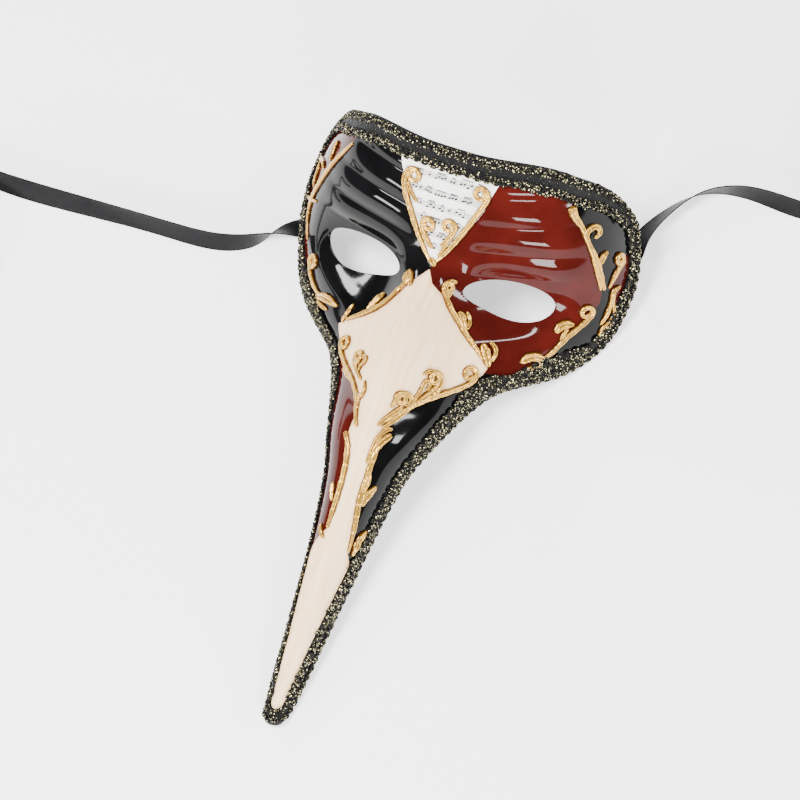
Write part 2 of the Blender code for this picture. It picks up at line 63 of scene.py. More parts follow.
BEAK_SECTIONS = [
    (-76.5, -55, 23, 25),
    (-81, -68, 18, 23.5),
    (-90, -86, 14.5, 21),
    (-103, -109, 11.5, 17.5),
    (-117, -133, 9, 12.5),
    (-130, -155, 7, 8),
    (-143, -175, 4.5, 4.5),
]
BEAK_PROFILE = [(0, 0), (0.45, 0.10), (0.78, 0.38), (0.93, 0.70), (1, 1)]
BEAK_BACK = np.array([0, 0.858, -0.514])
LAST_ROW = len(FACE_SECTIONS) + len(BEAK_SECTIONS) - 1
BEAK_ROW = 8
CORNER_START = 0.74
CORNER_ROWS = 1.3
DIP_ROWS = 0.35
DIP_INNER = 0.08
DIP_OUTER = 0.55
TIP_ROWS = 0.28
FOLD_PITCH = 14.2
FOLD_HEIGHT = 1.5
FOLD_CREASE = 0.24
FOLD_TOP = 62
FOLD_BOTTOM = 8.1
FOLD_INNER = 10
FOLD_INNER_FADE = 14
FOLD_OUTER = 72
FOLD_OUTER_FADE = 18
FOLD_BOTTOM_FADE = 3
FOLD_TOP_FADE = 8
FOLD_SLOPE = 0.10
FOLD_SAG = 0.0016
CHEEK_HEIGHT = 3.0
CHEEK_X = 42
CHEEK_Z = -19
CHEEK_HALF_WIDTH = 20
CHEEK_HALF_HEIGHT = 6.5
BROW_X = 38.3
EYE_X_LEFT = 38.5
EYE_X_RIGHT = 37.2
EYE_LENGTH_LEFT = 22.2
EYE_LENGTH_RIGHT = 20.6
EYE_Z = -2.3
EYE_HALF_HEIGHT = 8.6
EYE_SLOPE = math.radians(-7)
EYE_TAPER = 0.22
SINE, COSINE = math.sin(REST_TILT), math.cos(REST_TILT)


def all_sections():
    rows = [np.array(row, float) for row in FACE_SECTIONS]
    for y, z, half_width, height in BEAK_SECTIONS:
        ridge = np.array([0.0, y, z])
        side = np.array([half_width, 0.0, 0.0])
        rows.append(np.array([ridge + a * side + b * height * BEAK_BACK for a, b in BEAK_PROFILE]))
    return np.array(rows)


SECTIONS = all_sections()
ROW_CONTROLS = np.concatenate([
    [2 * SECTIONS[0] - SECTIONS[1]], SECTIONS, [2 * SECTIONS[-1] - SECTIONS[-2]]])


def weights(f):
    """The four weights of a uniform cubic B-spline."""
    second, third = 3 * f ** 3 - 6 * f ** 2 + 4, 1 + 3 * f + 3 * f ** 2 - 3 * f ** 3
    return np.stack([(1 - f) ** 3, second, third, f ** 3], -1) / 6


def fade(value, low, high):
    share = np.clip((value - low) / (high - low), 0.0, 1.0)
    return share * share * (3 - 2 * share)


def relief_height(x, z):
    """Height of the pressed folds of the brow and of the swelling under each eye, in millimetres."""
    x = np.abs(x)
    height = z - FOLD_SLOPE * (x - BROW_X) + FOLD_SAG * (x - BROW_X) ** 2
    wave = np.hypot(np.sin(math.pi * (height - FOLD_BOTTOM) / FOLD_PITCH), FOLD_CREASE) - FOLD_CREASE
    window = fade(x, FOLD_INNER, FOLD_INNER + FOLD_INNER_FADE)
    window = window * (1 - fade(x, FOLD_OUTER - FOLD_OUTER_FADE, FOLD_OUTER))
    window = window * fade(height, FOLD_BOTTOM - FOLD_BOTTOM_FADE, FOLD_BOTTOM + FOLD_BOTTOM_FADE)
    window = window * (1 - fade(height, FOLD_TOP - FOLD_TOP_FADE, FOLD_TOP))
    cheek = np.exp(-((x - CHEEK_X) / CHEEK_HALF_WIDTH) ** 2 - ((z - CHEEK_Z) / CHEEK_HALF_HEIGHT) ** 2)
    return FOLD_HEIGHT * wave * window + CHEEK_HEIGHT * cheek


def surface(rows, across):
    """Outer surface in the mask frame, in millimetres, for arrays of places."""
    rows = np.asarray(rows, float)
    across = np.asarray(across, float)
    first = np.minimum(np.maximum(rows, 0).astype(int), LAST_ROW - 1)
    w = weights(rows - first)
    half = sum(w[..., k, None, None] * ROW_CONTROLS[first + k] for k in range(4))
    place = np.abs(across) * 4
    before = half[..., 1:2, :] * np.array([-1, 1, 1])
    after = 2 * half[..., 4:5, :] - half[..., 3:4, :]
    controls = np.concatenate([before, half, after], -2)
    start = np.minimum(place.astype(int), 3)
    w = weights(place - start)
    points = sum(
        w[..., k, None] * np.take_along_axis(controls, (start + k)[..., None, None], -2)[..., 0, :]
        for k in range(4))
    bulge = np.where(rows < BEAK_ROW, relief_height(points[..., 0], points[..., 2]), 0.0)
    points[..., 1] -= bulge
    points[..., 0] = np.copysign(points[..., 0], across)
    return points


def rest(points):
    """Mask frame in millimetres to the resting attitude in metres."""
    points = np.asarray(points, float)
    x, y, z = points[..., 0], points[..., 1], points[..., 2]
    return np.stack([x, COSINE * y + SINE * z + REST_SHIFT, -SINE * y + COSINE * z + REST_LIFT], -1) * MM


def round_end(share):
    return 1 - np.sqrt(np.maximum(0.0, 1 - share * share))


def row_limits(across):
    share = np.maximum(0.0, np.abs(across) - CORNER_START) / (1 - CORNER_START)
    dip = DIP_ROWS * (1 - fade(np.abs(across), DIP_INNER, DIP_OUTER))
    return dip + CORNER_ROWS * round_end(share), LAST_ROW - TIP_ROWS * round_end(np.abs(across))


def shell_place(down, across):
    low, high = row_limits(across)
    return low + (high - low) * down


def grid(rows, half_columns):
    """Rows and places across of a grid over the whole shell, closer together towards the rim."""
    columns = np.sin(math.pi / 2 * np.arange(-half_columns, half_columns + 1) / half_columns)
    down = np.arange(rows + 1) / rows
    down, across = np.meshgrid(down, columns, indexing="ij")
    return shell_place(down, across), across


def grid_faces(rows, columns):
    faces = []
    for r in range(rows - 1):
        for c in range(columns - 1):
            base = r * columns + c
            faces.append((base, base + columns, base + columns + 1, base + 1))
    return faces


SKIN_ROWS = 260
SKIN_HALF_COLUMNS = 70


class Skin:
    """Nearest points and smooth normals of the outer surface, in the mask frame."""

    def __init__(self):
        points = surface(*grid(SKIN_ROWS, SKIN_HALF_COLUMNS))
        normals = np.cross(np.gradient(points, axis=0), np.gradient(points, axis=1)).reshape(-1, 3)
        self.normals = normals / np.maximum(np.linalg.norm(normals, axis=1), 1e-9)[:, None]
        self.faces = grid_faces(SKIN_ROWS + 1, points.shape[1])
        self.points = points.reshape(-1, 3)
        self.tree = BVHTree.FromPolygons([tuple(p) for p in self.points], self.faces)

    def nearest(self, point):
        place, flat_normal, index, _ = self.tree.find_nearest(Vector(point))
        place = np.array(place)
        corners = list(self.faces[index])
        gaps = np.linalg.norm(self.points[corners] - place, axis=1) + 0.02
        normal = (self.normals[corners] / gaps[:, None] ** 2).sum(0)
        normal /= np.linalg.norm(normal)
        if normal.dot(np.array(flat_normal)) < 0:
            normal = -normal
        return place, normal


# ---------------------------------------------------------------- building meshes

def linked(name, data):
    """New object in the scene."""
    item = bpy.data.objects.new(name, data)
    bpy.context.scene.collection.objects.link(item)
    return item


def join_part(item, nodes):
    """Rides a piece on the mask's one body in place of its plain nodes."""
    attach(item, "root")
    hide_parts(*nodes)


class Builder:
    """Collects points, faces and material indices for one piece, in metres."""

    def __init__(self):
        self.points = []
        self.faces = []
        self.slots = []
        self.count = 0

    def add(self, points, faces, slot=0):
        points = np.asarray(points, float)
        self.points.append(points)
        self.faces.extend([tuple(self.count + i for i in face) for face in faces])
        self.slots.extend([slot] * len(faces))
        self.count += len(points)

    def tube(self, rings, slot=0):
        """Closed tube with capped ends; rings is an array: station, place round the ring, coordinate."""
        stations, around = rings.shape[:2]
        faces = []
        for k in range(stations - 1):
            base = k * around
            for j in range(around):
                after = (j + 1) % around
                faces.append((base + j, base + after, base + around + after, base + around + j))
        faces.append(tuple(range(around))[::-1])
        faces.append(tuple(range((stations - 1) * around, stations * around)))
        self.add(rings.reshape(-1, 3), faces, slot)

    def piece(self, name, materials, slot_name, nodes, smooth_angle):
        mesh = bpy.data.meshes.new(name)
        mesh.from_pydata(np.concatenate(self.points).tolist(), [], self.faces)
        for material in materials:
            mesh.materials.append(material)
        mesh.polygons.foreach_set("material_index", self.slots)
        mesh.shade_smooth()
        mesh.set_sharp_from_angle(angle=math.radians(smooth_angle))
        item = linked(name, mesh)
        join_part(item, nodes)
        return item


def unit(vectors):
    vectors = np.asarray(vectors, float)
    return vectors / np.maximum(np.linalg.norm(vectors, axis=-1), 1e-12)[..., None]


def tangents(points):
    ahead = np.concatenate([points[1:], points[-1:]])
    behind = np.concatenate([points[:1], points[:-1]])
    return unit(ahead - behind)


def running(points):
    steps = np.linalg.norm(np.diff(points, axis=0), axis=1)
    return np.concatenate([[0.0], np.cumsum(steps)])


def resample(points, step):
    lengths = running(points)
    count = max(2, int(round(lengths[-1] / step)))
    wanted = np.linspace(0, lengths[-1], count + 1)
    return np.stack([np.interp(wanted, lengths, points[:, k]) for k in range(3)], 1)


def round_rings(points, radius, ups):
    """Rings of a cord along points; the first side of each ring is square to ups."""
    along = tangents(points)
    wide = unit(np.cross(along, ups))
    up = np.cross(wide, along)
    angles = (2 * math.pi * np.arange(CORD_SIDES) / CORD_SIDES)[None, :, None]
    return (points[:, None] + wide[:, None] * (np.cos(angles) * radius)
            + up[:, None] * (np.sin(angles) * radius))


def spline_samples(points, count):
    """Samples of a uniform cubic B-spline that reaches its end points."""
    points = np.asarray(points, float)
    controls = np.concatenate([[2 * points[0] - points[1]], points, [2 * points[-1] - points[-2]]])
    places = np.linspace(0, len(points) - 1, count)
    first = np.minimum(places.astype(int), len(points) - 2)
    w = weights(places - first)
    return sum(w[:, k, None] * controls[first + k] for k in range(4))


def paint(mesh, name, values):
    """Per-point numbers that a material reads."""
    layer = mesh.attributes.new(name, "FLOAT", "POINT")
    layer.data.foreach_set("value", np.asarray(values, np.float32).ravel())


# ---------------------------------------------------------------- materials

class Nodes:
    """Short hand for building a node material."""

    def __init__(self, name):
        self.material = bpy.data.materials.new(name)
        self.material.use_nodes = True
        self.tree = self.material.node_tree
        self.shader = self.tree.nodes["Principled BSDF"]

    def node(self, kind, inputs=None, **settings):
        item = self.tree.nodes.new(kind)
        for key, value in settings.items():
            setattr(item, key, value)
        for key, value in (inputs or {}).items():
            self.feed(item.inputs[key], value)
        return item

    def feed(self, socket, value):
        if isinstance(value, bpy.types.NodeSocket):
            self.tree.links.new(value, socket)
        elif isinstance(value, bpy.types.Node):
            self.tree.links.new(value.outputs[0], socket)
        else:
            socket.default_value = value

    def set(self, **inputs):
        for key, value in inputs.items():
            self.feed(self.shader.inputs[key.replace("_", " ")], value)

    def stretched(self, detail, roughness, x, x_scale, y, y_scale):
        """Noise drawn out along two running lengths of the piece."""
        place = self.node("ShaderNodeCombineXYZ", {
            "X": self.math("MULTIPLY", x, x_scale), "Y": self.math("MULTIPLY", y, y_scale)})
        return self.noise(1.0, detail, roughness, place.outputs[0])

    def coordinates(self):
        return self.node("ShaderNodeTexCoord").outputs["Object"]

    def noise(self, scale, detail=4.0, roughness=0.55, vector=None):
        return self.node("ShaderNodeTexNoise", {
            "Vector": vector or self.coordinates(), "Scale": scale, "Detail": detail,
            "Roughness": roughness}).outputs["Fac"]

    def attribute(self, name):
        return self.node("ShaderNodeAttribute", attribute_name=name).outputs["Fac"]

    def math(self, operation, a, b=0.0):
        return self.node("ShaderNodeMath", {0: a, 1: b}, operation=operation).outputs[0]

    def ramp(self, value, low, high, to_low=0.0, to_high=1.0):
        return self.node("ShaderNodeMapRange", {
            "Value": value, "From Min": low, "From Max": high, "To Min": to_low, "To Max": to_high},
            interpolation_type="SMOOTHSTEP").outputs["Result"]

    def mix(self, factor, a, b):
        item = self.node("ShaderNodeMix", {"Factor": factor}, data_type="RGBA")
        self.feed(item.inputs[6], (*a, 1) if isinstance(a, tuple) else a)
        self.feed(item.inputs[7], (*b, 1) if isinstance(b, tuple) else b)
        return item.outputs[2]

    def bump(self, height, strength, distance=0.001):
        inputs = {"Height": height, "Strength": strength, "Distance": distance}
        return self.node("ShaderNodeBump", inputs).outputs[0]


def paint_material():
    """Outside of the shell: black, maroon and ivory panels under one gloss varnish."""
    n = Nodes("painted_gloss")
    maroon = n.ramp(n.attribute("maroon"), -0.12, 0.12)
    ivory = n.ramp(n.attribute("ivory"), -0.15, 0.15)
    blotch = n.noise(38.0, 3.0)
    maroon_colour = n.mix(n.ramp(blotch, 0.35, 0.70), (0.038, 0.0038, 0.0028), (0.060, 0.0062, 0.0045))
    black_colour = n.mix(n.ramp(blotch, 0.35, 0.70), (0.0022, 0.0022, 0.0024), (0.0040, 0.0040, 0.0044))
    across, along = n.attribute("across_mm"), n.attribute("along_mm")
    streaks = n.stretched(5.0, 0.6, across, 0.34, along, 0.022)
    fine = n.stretched(4.0, 0.6, across, 2.6, along, 0.06)
    ivory_colour = n.mix(n.ramp(streaks, 0.30, 0.72), (0.90, 0.585, 0.30), (0.99, 0.77, 0.48))
    ivory_colour = n.mix(n.ramp(fine, 0.50, 0.80, 0.0, 0.22), ivory_colour, (1.0, 0.90, 0.74))
    ivory_colour = n.mix(n.ramp(n.noise(55.0, 3.0), 0.55, 0.8, 0.0, 0.22), ivory_colour, (0.66, 0.38, 0.19))
    edge = n.ramp(n.attribute("ivory"), 0.2, 2.4, 0.40, 0.0)
    ivory_colour = n.mix(edge, ivory_colour, (0.55, 0.30, 0.12))
    colour = n.mix(maroon, black_colour, maroon_colour)
    colour = n.mix(ivory, colour, ivory_colour)
    rough = n.ramp(n.noise(24.0, 3.0), 0.3, 0.8, 0.055, 0.10)
    rough = n.math("ADD", rough, n.math("MULTIPLY", ivory, 0.26))
    ripple = n.noise(85.0, 2.0, 0.5)
    orange_peel = n.noise(620.0, 2.0, 0.5)
    height = n.math("ADD", n.math("MULTIPLY", ripple, 0.12), n.math("MULTIPLY", orange_peel, 0.008))
    height = n.math("ADD", height, n.math("MULTIPLY", n.math("MULTIPLY", fine, ivory), 0.05))
    edge_step = n.math("MULTIPLY", ivory, 0.06)
    n.set(Base_Color=colour, Roughness=rough, Normal=n.bump(n.math("ADD", height, edge_step), 0.35),
          IOR=1.33, Specular_IOR_Level=0.30)
    return n.material


def lining_material():
    """Inside of the shell: matt black with a faint moulding texture."""
    n = Nodes("matt_lining")
    colour = n.mix(n.noise(60.0, 5.0), (0.010, 0.010, 0.011), (0.026, 0.025, 0.026))
    rough = n.ramp(n.noise(30.0, 4.0), 0.3, 0.7, 0.48, 0.68)
    n.set(Base_Color=colour, Roughness=rough, Normal=n.bump(n.noise(900.0, 3.0), 0.25, 0.0006))
    return n.material


def gold_material():
    """Relief paint: warm metallic gold, with painted shade: darker brown down its sides and in the hollow
    along its crest, and a near-black painted shadow along its foot.
    """
    n = Nodes("relief_gold")
    crest = n.attribute("crest")
    mottle = n.noise(160.0, 2.0)
    # Painted shade: the lower a point stands on the stroke's arch, the darker brown it is, so down its sides
    # and in the groove along its crest.
    colour = n.mix(n.ramp(crest, 0.40, 0.92), (0.15, 0.050, 0.004), (0.66, 0.37, 0.055))
    colour = n.mix(n.ramp(mottle, 0.48, 0.78, 0.0, 0.22), colour, (0.80, 0.52, 0.11))
    # Painted shadow: near-black brown along the foot of the stroke, where it meets the shell.
    colour = n.mix(n.ramp(crest, 0.04, 0.34, 0.85, 0.0), colour, (0.085, 0.028, 0.003))
    rough = n.ramp(mottle, 0.3, 0.7, 0.26, 0.32)
    n.set(Base_Color=colour, Roughness=rough, Metallic=0.75, Coat_Weight=0.2, Coat_Roughness=0.1,
          Normal=n.bump(n.noise(140.0, 2.0), 0.05, 0.0005))
    return n.material


GOLD_SHARE = 0.11


def gimp_material():
    """Thread of the braid: black yarn wound with pale gold lurex."""
    n = Nodes("gimp_cord")
    wound = n.attribute("wind")
    stripe = n.math("SINE", n.math("MULTIPLY", wound, 2 * math.pi))
    glint = n.noise(620.0, 2.0, 0.6)
    glitter = n.ramp(glint, 0.62 - GOLD_SHARE, 0.70 - GOLD_SHARE)
    mask = n.math("MULTIPLY", n.ramp(stripe, 0.05, 0.35), glitter)
    black = n.mix(n.noise(900.0), (0.0015, 0.0015, 0.0015), (0.008, 0.0075, 0.0065))
    colour = n.mix(mask, black, n.mix(n.noise(700.0), (0.40, 0.34, 0.15), (0.85, 0.77, 0.46)))
    n.set(Base_Color=colour, Metallic=n.math("MULTIPLY", mask, 0.85),
          Roughness=n.ramp(mask, 0.0, 1.0, 0.70, 0.26), Specular_IOR_Level=0.15,
          Normal=n.bump(n.math("ADD", stripe, n.math("MULTIPLY", glint, 0.8)), 0.6, 0.0003))
    return n.material


def core_material():
    """Woven middle of the braid."""
    n = Nodes("braid_core")
    warp = n.math("SINE", n.math("MULTIPLY", n.attribute("along_mm"), 9.0))
    weft = n.math("SINE", n.math("MULTIPLY", n.attribute("across_mm"), 11.0))
    weave = n.math("MULTIPLY", warp, weft)
    colour = n.mix(n.ramp(weave, -0.6, 0.8), (0.0015, 0.0015, 0.002), (0.009, 0.009, 0.010))
    speck = n.ramp(n.noise(1300.0, 2.0), 0.69, 0.74)
    colour = n.mix(speck, colour, (0.40, 0.37, 0.20))
    n.set(Base_Color=colour, Roughness=0.62, Normal=n.bump(weave, 0.7, 0.0003), Specular_IOR_Level=0.25)
    return n.material


def satin_material():
    """Black satin ribbon: long floats along it, fine ribs across."""
    n = Nodes("black_satin")
    along = n.attribute("along_mm")
    across = n.attribute("across_mm")
    threads = n.stretched(4.0, 0.6, across, 7.0, along, 0.35)
    rib = n.math("SINE", n.math("MULTIPLY", along, 14.0))
    selvage = n.ramp(n.math("ABSOLUTE", across), 4.35, 4.6)
    colour = n.mix(threads, (0.0015, 0.0015, 0.0018), (0.0060, 0.0060, 0.0070))
    colour = n.mix(n.math("MULTIPLY", selvage, 0.6), colour, (0.001, 0.001, 0.001))
    rough = n.math("ADD", n.ramp(threads, 0.25, 0.75, 0.30, 0.46), n.math("MULTIPLY", selvage, 0.2))
    height = n.math("ADD", n.math("MULTIPLY", threads, 0.7), n.math("MULTIPLY", rib, 0.18))
    n.set(Base_Color=colour, Roughness=rough, Normal=n.bump(height, 0.5, 0.0002), Anisotropic=0.5,
          Specular_IOR_Level=0.12, Sheen_Weight=0.02, Sheen_Roughness=0.4)
    return n.material


def felt_material():
    """Black felt, its fibres catching a little light."""
    n = Nodes("black_felt")
    fibre = n.noise(1100.0, 6.0, 0.7)
    colour = n.mix(fibre, (0.006, 0.006, 0.007), (0.040, 0.039, 0.040))
    n.set(Base_Color=colour, Roughness=0.95, Normal=n.bump(fibre, 0.9, 0.0005), Sheen_Weight=0.6)
    return n.material


def paper_material():
    """Varnished paper, faintly yellowed and creased."""
    n = Nodes("score_paper")
    stain = n.noise(70.0, 5.0, 0.6)
    colour = n.mix(n.ramp(stain, 0.40, 0.75), (0.97, 0.965, 0.93), (0.86, 0.81, 0.69))
    fibre = n.noise(1600.0, 4.0)
    n.set(Base_Color=colour, Roughness=n.ramp(stain, 0.3, 0.7, 0.30, 0.45),
          Normal=n.bump(n.math("ADD", fibre, n.math("MULTIPLY", n.noise(140.0), 2.0)), 0.3, 0.0004))
    return n.material


def ink_material():
    """Printed black, worn in places."""
    n = Nodes("print_ink")
    wear = n.noise(900.0, 3.0)
    colour = n.mix(n.ramp(wear, 0.56, 0.78), (0.004, 0.004, 0.005), (0.09, 0.085, 0.08))
    n.set(Base_Color=colour, Roughness=0.42, Normal=n.bump(wear, 0.2, 0.0002))
    return n.material


# ---------------------------------------------------------------- camera, floor and light

MAIN_DIRECTION = Vector((0.259, -0.297, 0.919)).normalized()
MAIN_RIGHT = Vector((0.9186, 0.3696, -0.1392)).normalized()
LOOK_AT = Vector((0.0018, 0.0224, 0.0204))
FRAME_WIDTH = 0.381
LENS = 200.0
SENSOR = 36.0
FARTHEST = 20.0


def build_camera():
    data = bpy.data.cameras.new("camera")
    data.lens = LENS
    data.sensor_width = SENSOR
    data.dof.use_dof = False
    data.clip_end = FARTHEST
    camera = linked("camera", data)
    back = MAIN_DIRECTION
    right = (MAIN_RIGHT - back * MAIN_RIGHT.dot(back)).normalized()
    up = back.cross(right)
    distance = FRAME_WIDTH * LENS / SENSOR
    place = LOOK_AT + back * distance
    turn = Matrix((right, up, back)).transposed()
    camera.matrix_world = Matrix.Translation(place) @ turn.to_4x4()
    bpy.context.scene.camera = camera


def soft_box(name, azimuth, elevation, distance, size, energy):
    """Lamp in a direction from the middle of the mask, facing it, with its height upright."""
    data = bpy.data.lights.new(name, "AREA")
    data.shape = "RECTANGLE"
    data.size, data.size_y = size
    data.energy = energy
    light = linked(name, data)
    azimuth, elevation = math.radians(azimuth), math.radians(elevation)
    level = math.cos(elevation)
    away = Vector((math.cos(azimuth) * level, math.sin(azimuth) * level, math.sin(elevation)))
    light.rotation_euler = away.to_track_quat("Z", "Y").to_euler()
    light.location = MIDDLE + away * distance


MIDDLE = Vector((0.0, 0.08, 0.05))
SOFT_BOXES = [
    ("lamp_over", -137, 69, 1.5, (0.58, 0.54), 58),
    ("lamp_front_left", -127, 17, 1.3, (0.40, 0.16), 14),
    ("lamp_front_right", -58, 18, 1.3, (0.52, 0.26), 24),
    ("lamp_back_left", 157, 28, 1.3, (0.34, 0.10), 9),
    ("lamp_back_right", 20, 48, 1.3, (0.08, 0.32), 8),
    ("lamp_right", 8, 22, 1.3, (0.16, 0.22), 8),
]
FLOOR_HALF = 3.0
FLOOR_GLOW = 1.05
WORLD_GLOW = 0.06


def build_stage():
    """Pale table, a faint light all round and the soft boxes."""
    mesh = bpy.data.meshes.new("floor")
    corners = [(a * FLOOR_HALF, b * FLOOR_HALF, 0) for a, b in ((-1, -1), (1, -1), (1, 1), (-1, 1))]
    mesh.from_pydata(corners, [], [(0, 1, 2, 3)])
    n = Nodes("pale_floor")
    n.set(Base_Color=(0.93, 0.93, 0.93, 1), Roughness=0.7, Specular_IOR_Level=0.2,
          Emission_Color=(1, 1, 1, 1), Emission_Strength=FLOOR_GLOW)
    mesh.materials.append(n.material)
    floor = linked("floor", mesh)
    world = bpy.data.worlds.new("studio")
    world.use_nodes = True
    sky = world.node_tree.nodes["Background"].inputs
    sky["Color"].default_value = (0.92, 0.93, 0.95, 1)
    sky["Strength"].default_value = WORLD_GLOW
    bpy.context.scene.world = world
    for lamp in SOFT_BOXES:
        soft_box(*lamp)


# ---------------------------------------------------------------- painted design

# Stems as places (row, across) on the shell, then the curl at the end: radius, and turn 1 to the left.
SCROLLS = {
    "forehead_scroll_left": (
        [(3.88, 0.004), (3.7, -0.03), (3.2, -0.078), (2.69, -0.117), (2.16, -0.154), (1.74, -0.187),
         (1.42, -0.203), (1.25, -0.192)], (3.6, -1)),
    "forehead_scroll_right": (
        [(3.88, 0.008), (3.52, 0.04), (3.08, 0.068), (2.51, 0.107), (1.99, 0.144), (1.55, 0.179),
         (1.32, 0.19), (1.22, 0.184)], (3.4, 1)),
    "forehead_curl_left": ([(3.36, -0.014), (3.1, -0.045), (2.85, -0.074), (2.65, -0.082)], (3.2, -1)),
    "forehead_curl_right": ([(3.18, 0.018), (2.93, 0.04), (2.68, 0.062), (2.5, 0.068)], (3.2, 1)),
    "temple_scroll_left": (
        [(0.95, -0.552), (1.1, -0.565), (1.4, -0.6), (1.77, -0.643), (2.33, -0.695), (2.96, -0.764),
         (3.71, -0.846), (4.34, -0.884), (4.9, -0.885), (5.27, -0.874)], None),
    "temple_sprig_left": ([(3.12, -0.846), (2.67, -0.832), (2.31, -0.838), (2.1, -0.87)], None),
    "cheek_scroll_left": ([(6.5, -0.701), (6.48, -0.768), (6.28, -0.805), (6.02, -0.818), (5.8, -0.811)],
                          (3.4, -1)),
    "temple_scroll_right": (
        [(1.0, 0.583), (1.22, 0.602), (1.4, 0.621), (1.65, 0.645), (2.08, 0.686), (2.57, 0.72),
         (3.13, 0.762), (3.55, 0.795)], None),
    "temple_branch_right": ([(3.45, 0.835), (3.04, 0.842), (2.7, 0.862), (2.45, 0.885)], (2.8, 1)),
    "temple_sprig_right": (
        [(3.6, 0.886), (3.92, 0.884), (4.39, 0.894), (4.8, 0.904), (5.1, 0.9)], None),
    "cheek_scroll_right": (
        [(6.42, 0.724), (6.25, 0.756), (6.0, 0.76), (5.66, 0.757), (5.34, 0.771), (5.02, 0.796),
         (4.7, 0.809)], (3.4, 1)),
    "beak_scroll_upper_left": (
        [(6.8, -0.495), (6.63, -0.435), (6.28, -0.322), (5.96, -0.241), (5.49, -0.173), (5.05, -0.125),
         (4.75, -0.092)], (2.4, 1)),
    "beak_scroll_upper_right": (
        [(6.71, 0.499), (6.31, 0.408), (6.03, 0.322), (5.68, 0.247), (5.32, 0.184), (4.92, 0.133),
         (4.7, 0.112)], (2.6, -1)),
    "beak_scroll_lower_left": (
        [(9.66, -0.122), (9.22, -0.156), (8.85, -0.189), (8.65, -0.245), (8.49, -0.327), (8.34, -0.455),
         (8.07, -0.53), (7.85, -0.54)], (3.6, -1)),
    "beak_curl_left": ([(8.16, -0.265), (8.06, -0.31), (7.92, -0.325)], (3.4, -1)),
    "beak_tendril_left": (
        [(9.93, -0.203), (10.43, -0.137), (11.0, -0.112), (11.56, -0.11), (12.03, -0.12),
         (12.41, -0.15)], None),
    "beak_scroll_lower_right": (
        [(9.32, 0.106), (9.05, 0.191), (8.75, 0.261), (8.52, 0.326), (8.3, 0.41), (8.06, 0.48),
         (7.8, 0.528), (7.52, 0.54)], (3.7, 1)),
    "beak_curl_upper_right": ([(8.02, 0.362), (7.86, 0.368), (7.65, 0.352)], (3.2, 1)),
    "beak_curl_lower_right": ([(8.66, 0.158), (8.52, 0.149), (8.35, 0.14)], (2.8, -1)),
    "beak_tendril_right": (
        [(9.7, 0.218), (10.07, 0.198), (10.66, 0.213), (11.11, 0.229), (11.47, 0.23), (11.77, 0.259),
         (12.09, 0.32), (12.44, 0.39), (12.73, 0.44)], None),
}

